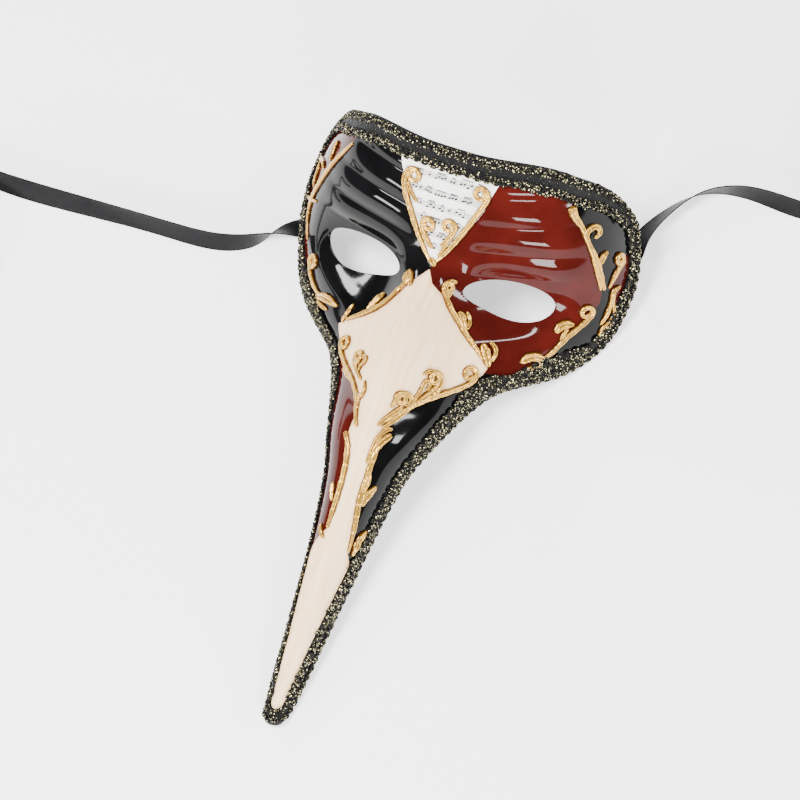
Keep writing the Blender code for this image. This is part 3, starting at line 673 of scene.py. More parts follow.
# Leaves and side shoots of each scroll: places (row, across) and widths along them.
LEAVES = {
    "beak_scroll_upper_left": [
        ([(4.88, -0.073), (4.68, -0.081), (4.54, -0.104), (4.44, -0.12)], [1.6, 3.6, 4.4, 2.4]),
        ([(6.24, -0.33), (6.0, -0.297), (5.75, -0.263), (5.54, -0.242)], [1.4, 4.0, 4.4, 2.2]),
        ([(6.94, -0.531), (6.6, -0.48), (6.37, -0.451), (6.19, -0.432)], [1.4, 2.6, 2.4, 1.6]),
    ],
    "beak_scroll_upper_right": [
        ([(4.93, 0.128), (4.68, 0.112), (4.48, 0.116), (4.38, 0.136), (4.47, 0.16)],
         [2.6, 3.0, 3.2, 2.8, 1.6]),
        ([(5.04, 0.152), (4.79, 0.148), (4.59, 0.144)], [1.6, 2.6, 2.0]),
        ([(6.0, 0.32), (5.75, 0.28), (5.52, 0.256), (5.45, 0.229)], [2.0, 3.8, 4.6, 2.2]),
        ([(5.94, 0.312), (5.75, 0.312), (5.56, 0.296), (5.4, 0.264)], [1.6, 2.4, 2.4, 1.6]),
        ([(6.9, 0.544), (6.59, 0.496), (6.32, 0.456), (6.14, 0.424)], [2.0, 5.0, 5.4, 2.8]),
        ([(6.68, 0.528), (6.35, 0.52), (6.11, 0.488), (6.04, 0.448)], [1.6, 2.6, 2.6, 1.8]),
    ],
    "beak_scroll_lower_left": [
        ([(8.54, -0.269), (8.53, -0.386), (8.52, -0.503)], [1.6, 4.0, 2.0]),
        ([(8.08, -0.149), (8.28, -0.116), (8.66, -0.127), (8.8, -0.192), (8.63, -0.221)],
         [2.2, 2.4, 2.6, 2.2, 1.6]),
        ([(8.86, -0.195), (9.17, -0.169), (9.46, -0.121), (9.64, -0.088)], [2.4, 2.0, 2.0, 1.6]),
    ],
    "beak_curl_left": [
        ([(8.2, -0.195), (8.11, -0.283), (7.92, -0.312), (7.63, -0.268),
          (7.39, -0.199), (7.52, -0.185), (7.85, -0.245), (8.04, -0.245)],
         [1.8, 2.4, 2.6, 2.8, 2.6, 2.4, 2.2, 1.6]),
    ],
    "beak_scroll_lower_right": [
        ([(9.4, 0.097), (9.03, 0.147), (8.66, 0.215)], [2.0, 2.6, 2.2]),
        ([(9.48, 0.15), (9.15, 0.217), (8.82, 0.264), (8.54, 0.288)], [2.0, 3.0, 2.6, 2.0]),
    ],
    "beak_curl_upper_right": [
        ([(8.64, 0.279), (8.28, 0.346), (7.97, 0.372),
          (7.62, 0.352), (7.38, 0.296), (7.31, 0.248), (7.5, 0.235)],
         [1.6, 3.4, 5.2, 5.0, 3.6, 2.6, 1.6]),
        ([(8.58, 0.256), (8.27, 0.273), (7.96, 0.271),
          (7.71, 0.259), (7.71, 0.291), (7.93, 0.318), (8.08, 0.304)],
         [1.6, 2.2, 2.4, 2.4, 2.4, 2.2, 1.6]),
    ],
    "beak_curl_lower_right": [
        ([(8.7, 0.139), (8.34, 0.141), (8.1, 0.168),
          (8.25, 0.225), (8.51, 0.257), (8.64, 0.232), (8.5, 0.184)],
         [1.8, 2.4, 2.8, 2.8, 2.6, 2.4, 1.8]),
    ],
    "beak_tendril_right": [
        ([(9.52, 0.25), (9.47, 0.202), (9.62, 0.166), (9.96, 0.15), (10.34, 0.153), (10.72, 0.16)],
         [1.8, 2.6, 2.4, 2.4, 2.2, 2.0]),
        ([(10.71, 0.176), (10.16, 0.181), (9.86, 0.218), (9.66, 0.264)], [1.4, 3.4, 4.2, 3.0]),
        ([(11.51, 0.257), (11.22, 0.258), (10.94, 0.256)], [2.2, 3.8, 1.4]),
        ([(11.8, 0.32), (11.55, 0.313), (11.4, 0.375), (11.23, 0.424)], [2.0, 4.8, 4.2, 2.0]),
        ([(12.76, 0.568), (12.51, 0.529), (12.34, 0.575), (12.22, 0.661)], [1.6, 4.2, 4.4, 1.6]),
    ],
    "beak_tendril_left": [
        ([(10.41, -0.112), (10.18, -0.17), (9.94, -0.224)], [1.6, 2.6, 2.2]),
        ([(11.88, -0.195), (11.68, -0.251), (11.45, -0.266)], [1.6, 3.0, 2.2]),
        ([(12.61, -0.162), (12.5, -0.275), (12.35, -0.327)], [2.0, 2.8, 1.6]),
        ([(8.68, -0.153), (9.08, -0.167), (9.4, -0.128), (9.68, -0.106)], [2.0, 2.4, 2.0, 1.6]),
    ],
    "temple_scroll_left": [
        ([(1.84, -0.693), (1.6, -0.698), (1.32, -0.712), (1.12, -0.712)], [1.6, 3.2, 3.4, 2.2]),
        ([(3.77, -0.938), (3.65, -0.844), (3.44, -0.747)], [1.8, 2.2, 1.6]),
    ],
    "temple_sprig_left": [
        ([(2.2, -0.744), (2.02, -0.775), (2.04, -0.871), (2.28, -1.0)], [1.6, 2.8, 2.4, 1.8]),
    ],
    "cheek_scroll_left": [
        ([(6.68, -0.798), (6.45, -0.703), (6.41, -0.626), (6.5, -0.568)], [1.6, 4.8, 5.2, 2.0]),
        ([(6.75, -0.787), (6.79, -0.734), (6.8, -0.676)], [1.6, 3.0, 1.6]),
    ],
    "forehead_scroll_left": [
        ([(2.76, -0.08), (3.04, -0.064), (3.33, -0.024)], [1.6, 2.4, 1.6]),
        ([(1.5, -0.184), (1.79, -0.16), (2.04, -0.12)], [1.6, 2.6, 1.6]),
        ([(3.67, -0.016), (3.85, 0.008), (3.96, 0.024)], [2.4, 3.4, 2.6]),
    ],
    "forehead_scroll_right": [
        ([(2.6, 0.064), (3.07, 0.04), (3.59, 0.02)], [1.6, 2.2, 1.6]),
    ],
    "temple_scroll_right": [
        ([(0.84, 0.566), (1.02, 0.573), (1.24, 0.598), (1.42, 0.622)], [5.0, 4.6, 3.8, 2.6]),
        ([(1.8, 0.656), (1.55, 0.648), (1.33, 0.68), (1.33, 0.718), (1.55, 0.726), (1.69, 0.696)],
         [2.2, 3.0, 3.4, 3.4, 2.8, 2.0]),
        ([(2.63, 0.734), (2.35, 0.744), (2.15, 0.762), (2.06, 0.784)], [2.2, 4.0, 3.4, 1.6]),
        ([(2.52, 0.728), (2.23, 0.706), (2.08, 0.696)], [2.2, 2.4, 1.4]),
        ([(2.01, 0.68), (2.52, 0.728), (2.98, 0.768), (3.53, 0.811)], [3.0, 4.0, 3.0, 1.8]),
    ],
    "temple_sprig_right": [
        ([(3.39, 0.912), (3.46, 0.872), (3.81, 0.866), (4.3, 0.918),
          (4.72, 0.952), (5.08, 0.94), (5.3, 0.928), (5.58, 0.934)],
         [1.6, 3.0, 2.6, 2.2, 2.2, 3.2, 4.0, 1.8]),
    ],
    "cheek_scroll_right": [
        ([(6.33, 0.769), (6.2, 0.698), (6.29, 0.667), (6.53, 0.664)], [1.6, 4.8, 5.4, 2.2]),
        ([(6.48, 0.771), (6.61, 0.752), (6.73, 0.729)], [1.6, 2.8, 1.6]),
        ([(5.06, 0.758), (5.03, 0.71), (5.19, 0.688), (5.4, 0.696)], [1.6, 4.4, 5.2, 2.6]),
        ([(5.18, 0.736), (5.43, 0.736), (5.66, 0.75)], [1.6, 2.8, 1.6]),
    ],
}


def stem(name, first, last):
    """Places of a scroll's stem, from one of them to just before another."""
    return SCROLLS[name][0][first:last]


# Borders of the painted panels, as places (row, across); most of them run under a scroll.
IVORY_BORDER = [
    (4.1, 0.0), (4.55, 0.045), (4.92, 0.125), *stem("beak_scroll_upper_right", 0, 5)[::-1],
    (6.95, 0.548), (7.25, 0.56), (7.52, 0.55), *stem("beak_scroll_lower_right", 2, 7)[::-1],
    (9.05, 0.2), (9.4, 0.185), (9.7, 0.212), *stem("beak_tendril_right", 1, 9),
    (13.0, 0.7), (13.1, 1.3), (17.0, 1.3), (17.0, -1.3), (13.1, -1.3), (12.9, -0.6),
    *stem("beak_tendril_left", 1, 6)[::-1], (9.93, -0.19), (9.4, -0.165), (9.22, -0.17),
    (8.85, -0.195), *stem("beak_scroll_lower_left", 3, 7), (7.85, -0.56), (7.35, -0.575),
    (7.05, -0.572), *stem("beak_scroll_upper_left", 0, 6), (4.6, -0.06),
]
MAROON_FACE = [
    (-1.0, 0.15), (1.22, 0.184), *stem("forehead_scroll_right", 1, 6)[::-1], (3.9, 0.01),
    (4.2, 0.0), (7.0, 0.0), (7.15, 0.62), (7.3, 0.9), (6.9, 0.9), *stem("cheek_scroll_right", 0, 7),
    (4.1, 0.822), (3.55, 0.8), *stem("temple_scroll_right", 3, 7)[::-1], (1.22, 0.602), (-1.0, 0.52),
]
MAROON_RIM_RIGHT = [
    (1.9, 1.2), (2.2, 0.93), *stem("temple_branch_right", 0, 4)[::-1], (3.6, 0.862),
    *stem("temple_sprig_right", 1, 5), (5.3, 0.95), (5.4, 1.2),
]
MAROON_RIM_LEFT = [
    (-1.0, -0.46), *stem("temple_scroll_left", 1, 10), (5.7, -0.85),
    *stem("cheek_scroll_left", 1, 4)[::-1], (6.55, -0.7), (6.9, -0.7), (6.9, -1.3), (-1.0, -1.3),
]
MAROON_FLANK = [(8.0, 0.05), (8.0, -1.3), (13.4, -1.3), (13.4, 0.0)]


# ---------------------------------------------------------------- painted shell

ROW_SCALE = 15.0
ACROSS_SCALE = 85.0


def border_distance(rows, across, border):
    """Distance in about millimetres to a closed border, positive inside."""
    x, y = across.ravel() * ACROSS_SCALE, rows.ravel() * ROW_SCALE
    corners = np.array([(b * ACROSS_SCALE, a * ROW_SCALE) for a, b in border])
    inside = np.zeros(len(x), bool)
    best = np.full(len(x), 1e9)
    for (x0, y0), (x1, y1) in zip(corners, np.roll(corners, -1, 0)):
        span = (x1 - x0) ** 2 + (y1 - y0) ** 2
        share = np.clip(((x - x0) * (x1 - x0) + (y - y0) * (y1 - y0)) / span, 0, 1)
        best = np.minimum(best, np.hypot(x - x0 - share * (x1 - x0), y - y0 - share * (y1 - y0)))
        if y0 != y1:
            crossing = (y0 > y) != (y1 > y)
            inside ^= crossing & (x < x0 + (y - y0) * (x1 - x0) / (y1 - y0))
    return np.where(inside, best, -best)


def eye_gap(x, z):
    """Signed distance to the nearer almond eye hole, negative inside, in about millimetres."""
    left = x < 0
    half_length = np.where(left, EYE_LENGTH_LEFT, EYE_LENGTH_RIGHT)
    dx, dz = np.abs(x) - np.where(left, EYE_X_LEFT, EYE_X_RIGHT), z - EYE_Z
    along = dx * math.cos(EYE_SLOPE) + dz * math.sin(EYE_SLOPE)
    up = -dx * math.sin(EYE_SLOPE) + dz * math.cos(EYE_SLOPE)
    cosine = np.clip(along / half_length, -1.2, 1.2)
    reach = np.sqrt((along / half_length) ** 2 + (up / (EYE_HALF_HEIGHT * (1 + EYE_TAPER * cosine))) ** 2)
    return (reach - 1) * EYE_HALF_HEIGHT


def cut_holes(work, gaps):
    """Splits the mesh along the zero line of a per-vertex number and removes the inside."""
    work.verts.ensure_lookup_table()
    level = {v: gaps[v.index] for v in work.verts}
    crossing = [e for e in work.edges if (level[e.verts[0]] < 0) != (level[e.verts[1]] < 0)]
    faces = dict.fromkeys(f for e in crossing for f in e.link_faces)
    fresh = set()
    for edge in crossing:
        a, b = edge.verts
        share = level[a] / (level[a] - level[b])
        _, vert = bmesh.utils.edge_split(edge, a, min(max(share, 0.02), 0.98))
        level[vert] = 0.0
        fresh.add(vert)
    for face in faces:
        ends = [v for v in face.verts if v in fresh]
        if len(ends) == 2:
            bmesh.utils.face_split(face, ends[0], ends[1])
    gone = [f for f in work.faces if any(level[v] < 0 for v in f.verts)]
    bmesh.ops.delete(work, geom=gone, context="FACES")


SHELL_ROWS = 420
SHELL_HALF_COLUMNS = 110
EDGE_RADIUS = 0.25
FACE_Y_LIMIT = 60


def build_shell(outside, inside):
    """Sheet with its distances to the painted borders, eye holes cut, then thickened."""
    rows = SHELL_ROWS
    places = grid(rows, SHELL_HALF_COLUMNS)
    points = surface(*places)
    columns = points.shape[1]
    mesh = bpy.data.meshes.new("painted_shell")
    mesh.from_pydata(points.reshape(-1, 3).tolist(), [], grid_faces(rows + 1, columns))
    along = np.concatenate([[np.zeros(columns)], np.cumsum(
        np.linalg.norm(np.diff(points, axis=0), axis=2), axis=0)])
    side = np.concatenate([np.zeros((rows + 1, 1)), np.cumsum(
        np.linalg.norm(np.diff(points, axis=1), axis=2), axis=1)], 1)
    side -= side[:, columns // 2][:, None]
    maroon = np.max([border_distance(*places, border) for border in (
        MAROON_FACE, MAROON_RIM_RIGHT, MAROON_RIM_LEFT, MAROON_FLANK)], 0)
    for name, values in (
            ("ivory", border_distance(*places, IVORY_BORDER)), ("maroon", maroon),
            ("along_mm", along[:, columns // 2][:, None].repeat(columns, 1)), ("across_mm", side)):
        paint(mesh, name, values)
    work = bmesh.new()
    work.from_mesh(mesh)
    flat = points.reshape(-1, 3)
    on_face = (flat[:, 1] < FACE_Y_LIMIT) & (places[0].ravel() < BEAK_ROW)
    gaps = np.where(on_face, eye_gap(flat[:, 0], flat[:, 2]), 1.0)
    cut_holes(work, gaps)
    for vert in work.verts:
        vert.co = Vector(rest(np.array(vert.co)))
    work.normal_update()
    top = max(work.faces, key=lambda face: face.calc_center_median().z)
    if top.normal.z < 0:
        bmesh.ops.reverse_faces(work, faces=work.faces)
    work.to_mesh(mesh)
    work.free()
    mesh.materials.append(outside)
    mesh.materials.append(inside)
    mesh.shade_smooth()
    item = linked("painted_shell", mesh)
    solid = item.modifiers.new("thickness", "SOLIDIFY")
    solid.thickness = SHELL_THICKNESS * MM
    solid.offset = -1
    solid.material_offset = 1
    solid.material_offset_rim = 0
    solid.use_even_offset = True
    bevel = item.modifiers.new("edge", "BEVEL")
    bevel.width = EDGE_RADIUS * MM
    bevel.segments = 2
    bevel.limit_method = "ANGLE"
    bevel.angle_limit = math.radians(60)
    join_part(item, ("shell",))


# ---------------------------------------------------------------- relief

RELIEF_STEP = 0.45
RELIEF_SIDES = 11
STEM_SAMPLES = 240
CURL_TURNS = 1.12
CURL_SHRINK = 0.52
STEM_GROOVE = 0.30
LEAF_GROOVE = 0.42
GROOVE_HALF_WIDTH = 0.30
RELIEF_SINK = 0.25
CAP_LENGTH = 0.9
CURLED_WIDTHS = [1.5, 2.7, 3.1, 3.1, 3.0, 2.8, 2.3]
CURLED_HEIGHTS = [0.9, 1.6, 1.9, 2.0, 2.1, 2.0, 1.7]
TAPERED_WIDTHS = [1.6, 3.0, 2.9, 3.0, 2.7, 1.5]
TAPERED_HEIGHTS = [0.9, 1.6, 1.7, 1.7, 1.5, 0.8]
LEAF_HEIGHT = 0.7
LEAF_RISE = 0.38
LEAF_HEIGHT_MOST = 2.3


def places_to_points(places):
    fine = spline_samples(places, STEM_SAMPLES)
    return resample(surface(fine[:, 0], fine[:, 1]), RELIEF_STEP)


def curl_points(skin, start, heading, radius, turn):
    """Volute that carries on from a stem's end, its radius shrinking."""
    points = []
    place, heading = np.array(start), unit(heading)
    swept, whole = 0.0, 2 * math.pi * CURL_TURNS
    while swept < whole:
        bend = radius * (1 - CURL_SHRINK * swept / whole)
        angle = RELIEF_STEP / bend
        _, normal = skin.nearest(place)
        heading = unit(heading - normal * heading.dot(normal))
        side = np.cross(normal, heading)
        heading = unit(heading * math.cos(angle) + side * turn * math.sin(angle))
        place, _ = skin.nearest(place + heading * RELIEF_STEP)
        points.append(place)
        swept += angle
    return points


def relief_stroke(b, skin, crests, points, widths, heights, groove=STEM_GROOVE):
    """Raised line of relief paint: an arch with a hollow along its crest."""
    points = np.asarray(points)
    count = len(points)
    normals = np.array([skin.nearest(p)[1] for p in points])
    along = tangents(points)
    wide = unit(np.cross(along, normals))
    share = np.linspace(0, 1, count)
    widths = np.interp(share, np.linspace(0, 1, len(widths)), widths)
    heights = np.interp(share, np.linspace(0, 1, len(heights)), heights)
    lengths = running(points)
    wobble = 1 + 0.06 * np.sin(lengths * 0.9 + points[0, 0]) + 0.03 * np.sin(lengths * 2.3 + points[0, 2])
    caps = np.sqrt(np.clip(np.minimum(lengths, lengths[-1] - lengths) / CAP_LENGTH, 0.03, 1))
    angles = np.linspace(0, math.pi, RELIEF_SIDES)
    across = np.cos(angles)
    arch = np.sin(angles) ** 0.75 * (1 - groove * np.exp(-(across / GROOVE_HALF_WIDTH) ** 2))
    rings, crest = [], []
    for k in range(count):
        w = widths[k] * 0.5 * wobble[k] * caps[k]
        h = heights[k] * wobble[k] * (0.25 + 0.75 * caps[k])
        ring = points[k] + wide[k] * across[:, None] * w + normals[k] * (arch[:, None] * h - 0.02)
        under = points[k] + wide[k] * np.array([[-0.8], [0.8]]) * w - normals[k] * RELIEF_SINK
        rings.append(np.concatenate([ring, under]))
        crest.append(np.concatenate([arch, [0, 0]]))
    b.tube(rest(np.array(rings)))
    crests.extend(np.concatenate(crest))


def build_relief(skin, gold):
    """One piece for each scroll: its stem and curl, and the leaves that grow from it."""
    for name, (stem, curl) in SCROLLS.items():
        b, crests = Builder(), []
        points = places_to_points(stem)
        if curl:
            tail = curl_points(skin, points[-1], points[-1] - points[-2], *curl)
            points = np.concatenate([points, tail])
            widths, heights = CURLED_WIDTHS, CURLED_HEIGHTS
        else:
            widths, heights = TAPERED_WIDTHS, TAPERED_HEIGHTS
        relief_stroke(b, skin, crests, points, widths, heights)
        for places, widths in LEAVES.get(name, []):
            line = places_to_points(places)
            heights = [min(LEAF_HEIGHT_MOST, LEAF_HEIGHT + LEAF_RISE * width) for width in widths]
            relief_stroke(b, skin, crests, line, widths, heights, LEAF_GROOVE)
        item = b.piece(name + "_relief", [gold], "gold_relief", (name,), 70)
        paint(item.data, "crest", crests)


# ---------------------------------------------------------------- rim braid

BRAID_BACK = 3.8
BRAID_STOPS = [0, 0.16, 0.235, 0.30, 0.42, 0.47, 0.505, 0.545, 0.59, 0.64, 0.72, 0.90, 0.975, 1]
BRAID_WIDTHS = [9.5, 10.6, 8.8, 7.5, 8.0, 10.0, 13.5, 14.5, 12.0, 10.0, 9.5, 8.8, 6.5, 5.4]
BRAID_CUTS = [
    ("braid_forehead", -0.235, 0.235),
    ("braid_temple_right", 0.235, 0.40),
    ("braid_cheek_right", 0.40, 0.60),
    ("braid_beak_right", 0.60, 0.97),
    ("braid_tip", 0.97, 1.03),
    ("braid_beak_left", 1.03, 1.40),
    ("braid_cheek_left", 1.40, 1.60),
    ("braid_temple_left", 1.60, 1.765),
]
LOOP_PITCH = 4.4
LOOP_RADIUS = 2.35
CORD_RADIUS = 0.58
ROSETTE_STEPS = 22
ROSETTE_TURNS = 1.6
ROSETTE_SHRINK = 0.66
ROSETTE_LIFT = 0.95
ROSETTE_DOME = 0.65
ROSETTE_WAVE = 0.12
ROSETTE_START = 1.7
CORD_SIDES = 6
CORD_LAY = 1.5
TIP_SCALE = 0.7
BACK_ROW_SCALE = 0.8
LENGTH_GAP = 0.17
FLOOR_GAP = 0.0002
RIM_STEP = 0.5
RIM_REACH = 3
EDGE_DROOP = 0.14
BAND_STEP = 1.5
BAND_HEIGHT = 0.75
# The band past the edge of the shell: inset, and height over the outside.
BAND_FOLD = ((-1.2, 0.75), (-2.4, 0.75), (-3.2, 0.3), (-2.4, -0.5), (-1.2, -1.7), (-0.6, -2.3))
BACK_ROW_INSET = 1.9
LOOP_OUT = 0.5
EXTRA_STOPS = [0.42, 0.455, 0.505, 0.55, 0.60]
EXTRA_WIDTHS = [0.0, 4.5, 10.5, 8.0, 0.0]
PUFF_STOPS = [0.40, 0.455, 0.50, 0.54, 0.58, 0.66]
PUFF_HEIGHTS = [0.0, 2.2, 4.2, 4.0, 2.0, 0.0]
INNER_ROW_WIDTHS = [4.8, 7.0, 8.5, 10.6, 14.5, 25.0]
INNER_ROW_INSETS = [2.4, 4.2, 5.7, 7.9, 11.9, 22.4]


def rim_loop(steps=1600):
    """Closed rim, clockwise seen from the front, from the middle of the forehead."""
    k = np.arange(steps) / steps
    half = np.arange(steps // 2) / (steps // 2)
    parts = [
        (np.zeros(steps), np.sin(math.pi / 2 * k)),
        (k, np.ones(steps)),
        (np.ones(steps // 2), np.cos(math.pi * half)),
        (1 - k, -np.ones(steps)),
        (np.zeros(steps), -np.cos(math.pi / 2 * k)),
    ]
    down = np.concatenate([a for a, _ in parts])
    across = np.concatenate([b for _, b in parts])
    return surface(shell_place(down, across), across)


class Rim:
    """Places on the shell by running length along the rim and distance in from it."""

    def __init__(self, skin):
        points = rim_loop()
        points = np.concatenate([points, points[:1]])
        lengths = running(points)
        self.whole = lengths[-1]
        self.count = int(self.whole / RIM_STEP)
        wanted = np.linspace(0, self.whole, self.count, endpoint=False)
        self.points = np.stack([np.interp(wanted, lengths, points[:, k]) for k in range(3)], 1)
        along = unit(np.roll(self.points, -RIM_REACH, 0) - np.roll(self.points, RIM_REACH, 0))
        normals = np.array([skin.nearest(p)[1] for p in self.points])
        inboard = unit(np.cross(along, normals))
        self.normals = np.array([skin.nearest(p + q * 2)[1] for p, q in zip(self.points, inboard)])
        self.inboard = unit(np.cross(along, self.normals))
        self.skin = skin

    def frame(self, place):
        """Point on the rim, the direction inwards from it and the outward normal."""
        where = (place % self.whole) / self.whole * self.count
        k = int(where)
        f = where - k
        a, b = k % self.count, (k + 1) % self.count
        return tuple(v[a] * (1 - f) + v[b] * f for v in (self.points, self.inboard, self.normals))

    def width(self, place):
        place = place % self.whole
        share = min(place, self.whole - place) / (self.whole / 2)
        extra = float(np.interp(share, EXTRA_STOPS, EXTRA_WIDTHS)) if place < self.whole / 2 else 0.0
        return float(np.interp(share, BRAID_STOPS, BRAID_WIDTHS)) + extra

    def puff(self, place, inset):
        """Extra height of the gathered braid at the left corner of the cheek."""
        place = place % self.whole
        if place < self.whole / 2:
            return 0.0
        share = (self.whole - place) / (self.whole / 2)
        fade = max(0.0, 1 - max(0.0, inset) / self.width(place))
        return float(np.interp(share, PUFF_STOPS, PUFF_HEIGHTS)) * fade

    def front(self, place, inset, height):
        """Point over the outside; a negative inset wraps round the edge."""
        point, inboard, normal = self.frame(place)
        if inset >= 0:
            height = height + self.puff(place, inset)
            spot, up = self.skin.nearest(point + inboard * inset)
            blend = min(1.0, inset / 2.0)
            up = unit(up * blend + normal * (1 - blend))
            return spot + up * height, up
        reach = SHELL_THICKNESS / 2 + height
        turn = min(math.pi, -inset / reach)
        middle = point - normal * SHELL_THICKNESS / 2
        out = normal * math.cos(turn) - inboard * math.sin(turn)
        return middle + out * reach, out

    def flat(self, place, inset, height):
        """Point over the outside; a negative inset carries on past the edge, drooping a little."""
        if inset >= 0:
            return self.front(place, inset, height)
        point, inboard, normal = self.frame(place)
        droop = EDGE_DROOP * inset * inset - self.puff(place, inset)
        return point + inboard * inset + normal * (height - droop), normal

    def back(self, place, inset, height):
        """Point under the inside."""
        point, inboard, _ = self.frame(place)
        spot, up = self.skin.nearest(point + inboard * inset)
        return spot - up * (SHELL_THICKNESS + height), -up


def braid_band(rim, first, last):
    """Woven strip folded over the edge, under the loops."""
    count = max(3, int((last - first) / BAND_STEP))
    rings, across_values, along_values = [], [], []
    for place in np.linspace(first, last, count):
        width = rim.width(place)
        back = min(BRAID_BACK, width)
        outline = [rim.front(place, width - 1.0, 0.15)[0]]
        for share in (0.75, 0.5, 0.25, 0.0):
            outline.append(rim.front(place, (width - 1.2) * share, BAND_HEIGHT)[0])
        for inset, height in BAND_FOLD:
            outline.append(rim.flat(place, inset, height)[0])
        hidden = ((back * 0.5, 0.95), (back - 0.6, 0.95), (back - 0.4, 0.15), (back * 0.4, 0.15))
        for inset, height in hidden:
            outline.append(rim.back(place, inset, height)[0])
        outline.append(rim.front(place, -0.9, 0.05)[0])
        outline.append(rim.front(place, width * 0.4, 0.05 - rim.puff(place, width * 0.4))[0])
        rings.append(outline)
        steps = running(np.array(outline))
        across_values.extend(steps)
        along_values.extend([place] * len(outline))
    return np.array(rings), across_values, along_values


def rosette(place, inset, side, radius):
    """Cord wound inwards in a small flat spiral, standing a little higher in its middle."""
    points, ups = [], []
    for k in range(ROSETTE_STEPS + 1):
        share = k / ROSETTE_STEPS
        angle = place * ROSETTE_START + inset + 2 * math.pi * ROSETTE_TURNS * share
        reach = radius * (1 - ROSETTE_SHRINK * share)
        lift = ROSETTE_LIFT + ROSETTE_DOME * share + ROSETTE_WAVE * math.sin(3 * angle)
        spot, up = side(place + reach * math.cos(angle), inset + reach * math.sin(angle), lift)
        points.append(spot)
        ups.append(up)
    return np.array(points), np.array(ups)


def rosette_insets(rim, place, filled):
    """Insets of the rosettes at one place: the two edge rows, and more between them if filled."""
    inner = inner_row(rim.width(place))
    gaps = max(1, int(round((inner + LOOP_OUT) / LOOP_PITCH))) if filled else 1
    return np.linspace(-LOOP_OUT, inner, gaps + 1)


def inner_row(width):
    """Inset of the inner row's middle: at the edge of the wide part, close to the outer row elsewhere."""
    return float(np.interp(width, INNER_ROW_WIDTHS, INNER_ROW_INSETS))


def build_braid(skin, gimp, core):
    """One piece for each length of braid: its woven band and the rosettes of cord sewn on it."""
    rim = Rim(skin)
    half = rim.whole / 2
    for name, start, end in BRAID_CUTS:
        first, last = start * half + LENGTH_GAP, end * half - LENGTH_GAP
        b = Builder()
        wind, across_values, along_values = [], [], []
        rings, across, along = braid_band(rim, first, last)
        strip = rest(rings)
        strip[..., 2] = np.maximum(strip[..., 2], FLOOR_GAP)
        b.tube(strip, 1)
        wind.extend([0.0] * rings.shape[0] * rings.shape[1])
        across_values.extend(across)
        along_values.extend(along)
        scale = TIP_SCALE if name == "braid_tip" else 1.0
        filled = name.startswith(("braid_cheek", "braid_beak"))
        count = max(1, int(round((last - first) / (LOOP_PITCH * scale))))
        pitch = (last - first) / count
        for k in range(count):
            place = first + pitch * (k + 0.5)
            spots = []
            for order, inset in enumerate(rosette_insets(rim, place, filled)):
                swell = 1 + 0.07 * math.sin(place * 2.3 + 2 * order)
                slip = 0.5 * pitch * (order % 2) if 0 < k < count - 1 else 0.0
                spots.append((place + slip, inset, rim.flat, LOOP_RADIUS * scale * swell))
            spots.append((place, BACK_ROW_INSET, rim.back, LOOP_RADIUS * BACK_ROW_SCALE * scale))
            for where, inset, side, radius in spots:
                line, ups = rosette(where, inset, side, radius)
                rings = rest(round_rings(line, CORD_RADIUS * scale, ups))
                rings[..., 2] = np.maximum(rings[..., 2], FLOOR_GAP)
                b.tube(rings)
                lengths = running(line) + where
                sides = np.arange(CORD_SIDES) / CORD_SIDES
                wind.extend((lengths[:, None] / CORD_LAY + sides[None]).ravel())
                across_values.extend([0.0] * rings.shape[0] * CORD_SIDES)
                along_values.extend([0.0] * rings.shape[0] * CORD_SIDES)
        item = b.piece(name + "_gimp", [gimp, core], "braid", (name,), 80)
        paint(item.data, "wind", wind)
        paint(item.data, "across_mm", across_values)
        paint(item.data, "along_mm", along_values)


# ---------------------------------------------------------------- music paper

PAPER_TOP = 0.84
PAPER_BOTTOM = 3.74
STAVES = [1.18, 1.62, 2.02, 2.42, 2.84, 3.22]
LINE_GAP = 0.62
PAPER_ROWS = [0.84, 1.3, 1.75, 2.2, 2.7, 3.2, 3.74]
PAPER_HALVES = [0.236, 0.207, 0.186, 0.150, 0.112, 0.070, 0.018]
PAPER_SHIFT = -0.006
PAPER_STEPS = 60
PAPER_COLUMNS = 40
PAPER_TOP_FACE = 0.20
PAPER_UNDERSIDE = 0.02
INK_FACE = 0.235
DEPTH_SAMPLES = 200
MM_ACROSS = 104.0
LINE_THICK = 0.20
BAR_LINE_THICK = 0.16
HEAD_LENGTH = 0.72
HEAD_HEIGHT = 0.54
HEAD_SLANT = 0.18
STEM_OFFSET = 0.40
STEM_LENGTH = 2.0
BEAM_THICK = 0.55
BEAM_OVERHANG = 0.06
SECOND_BEAM = (0.62, 0.80, 0.42)


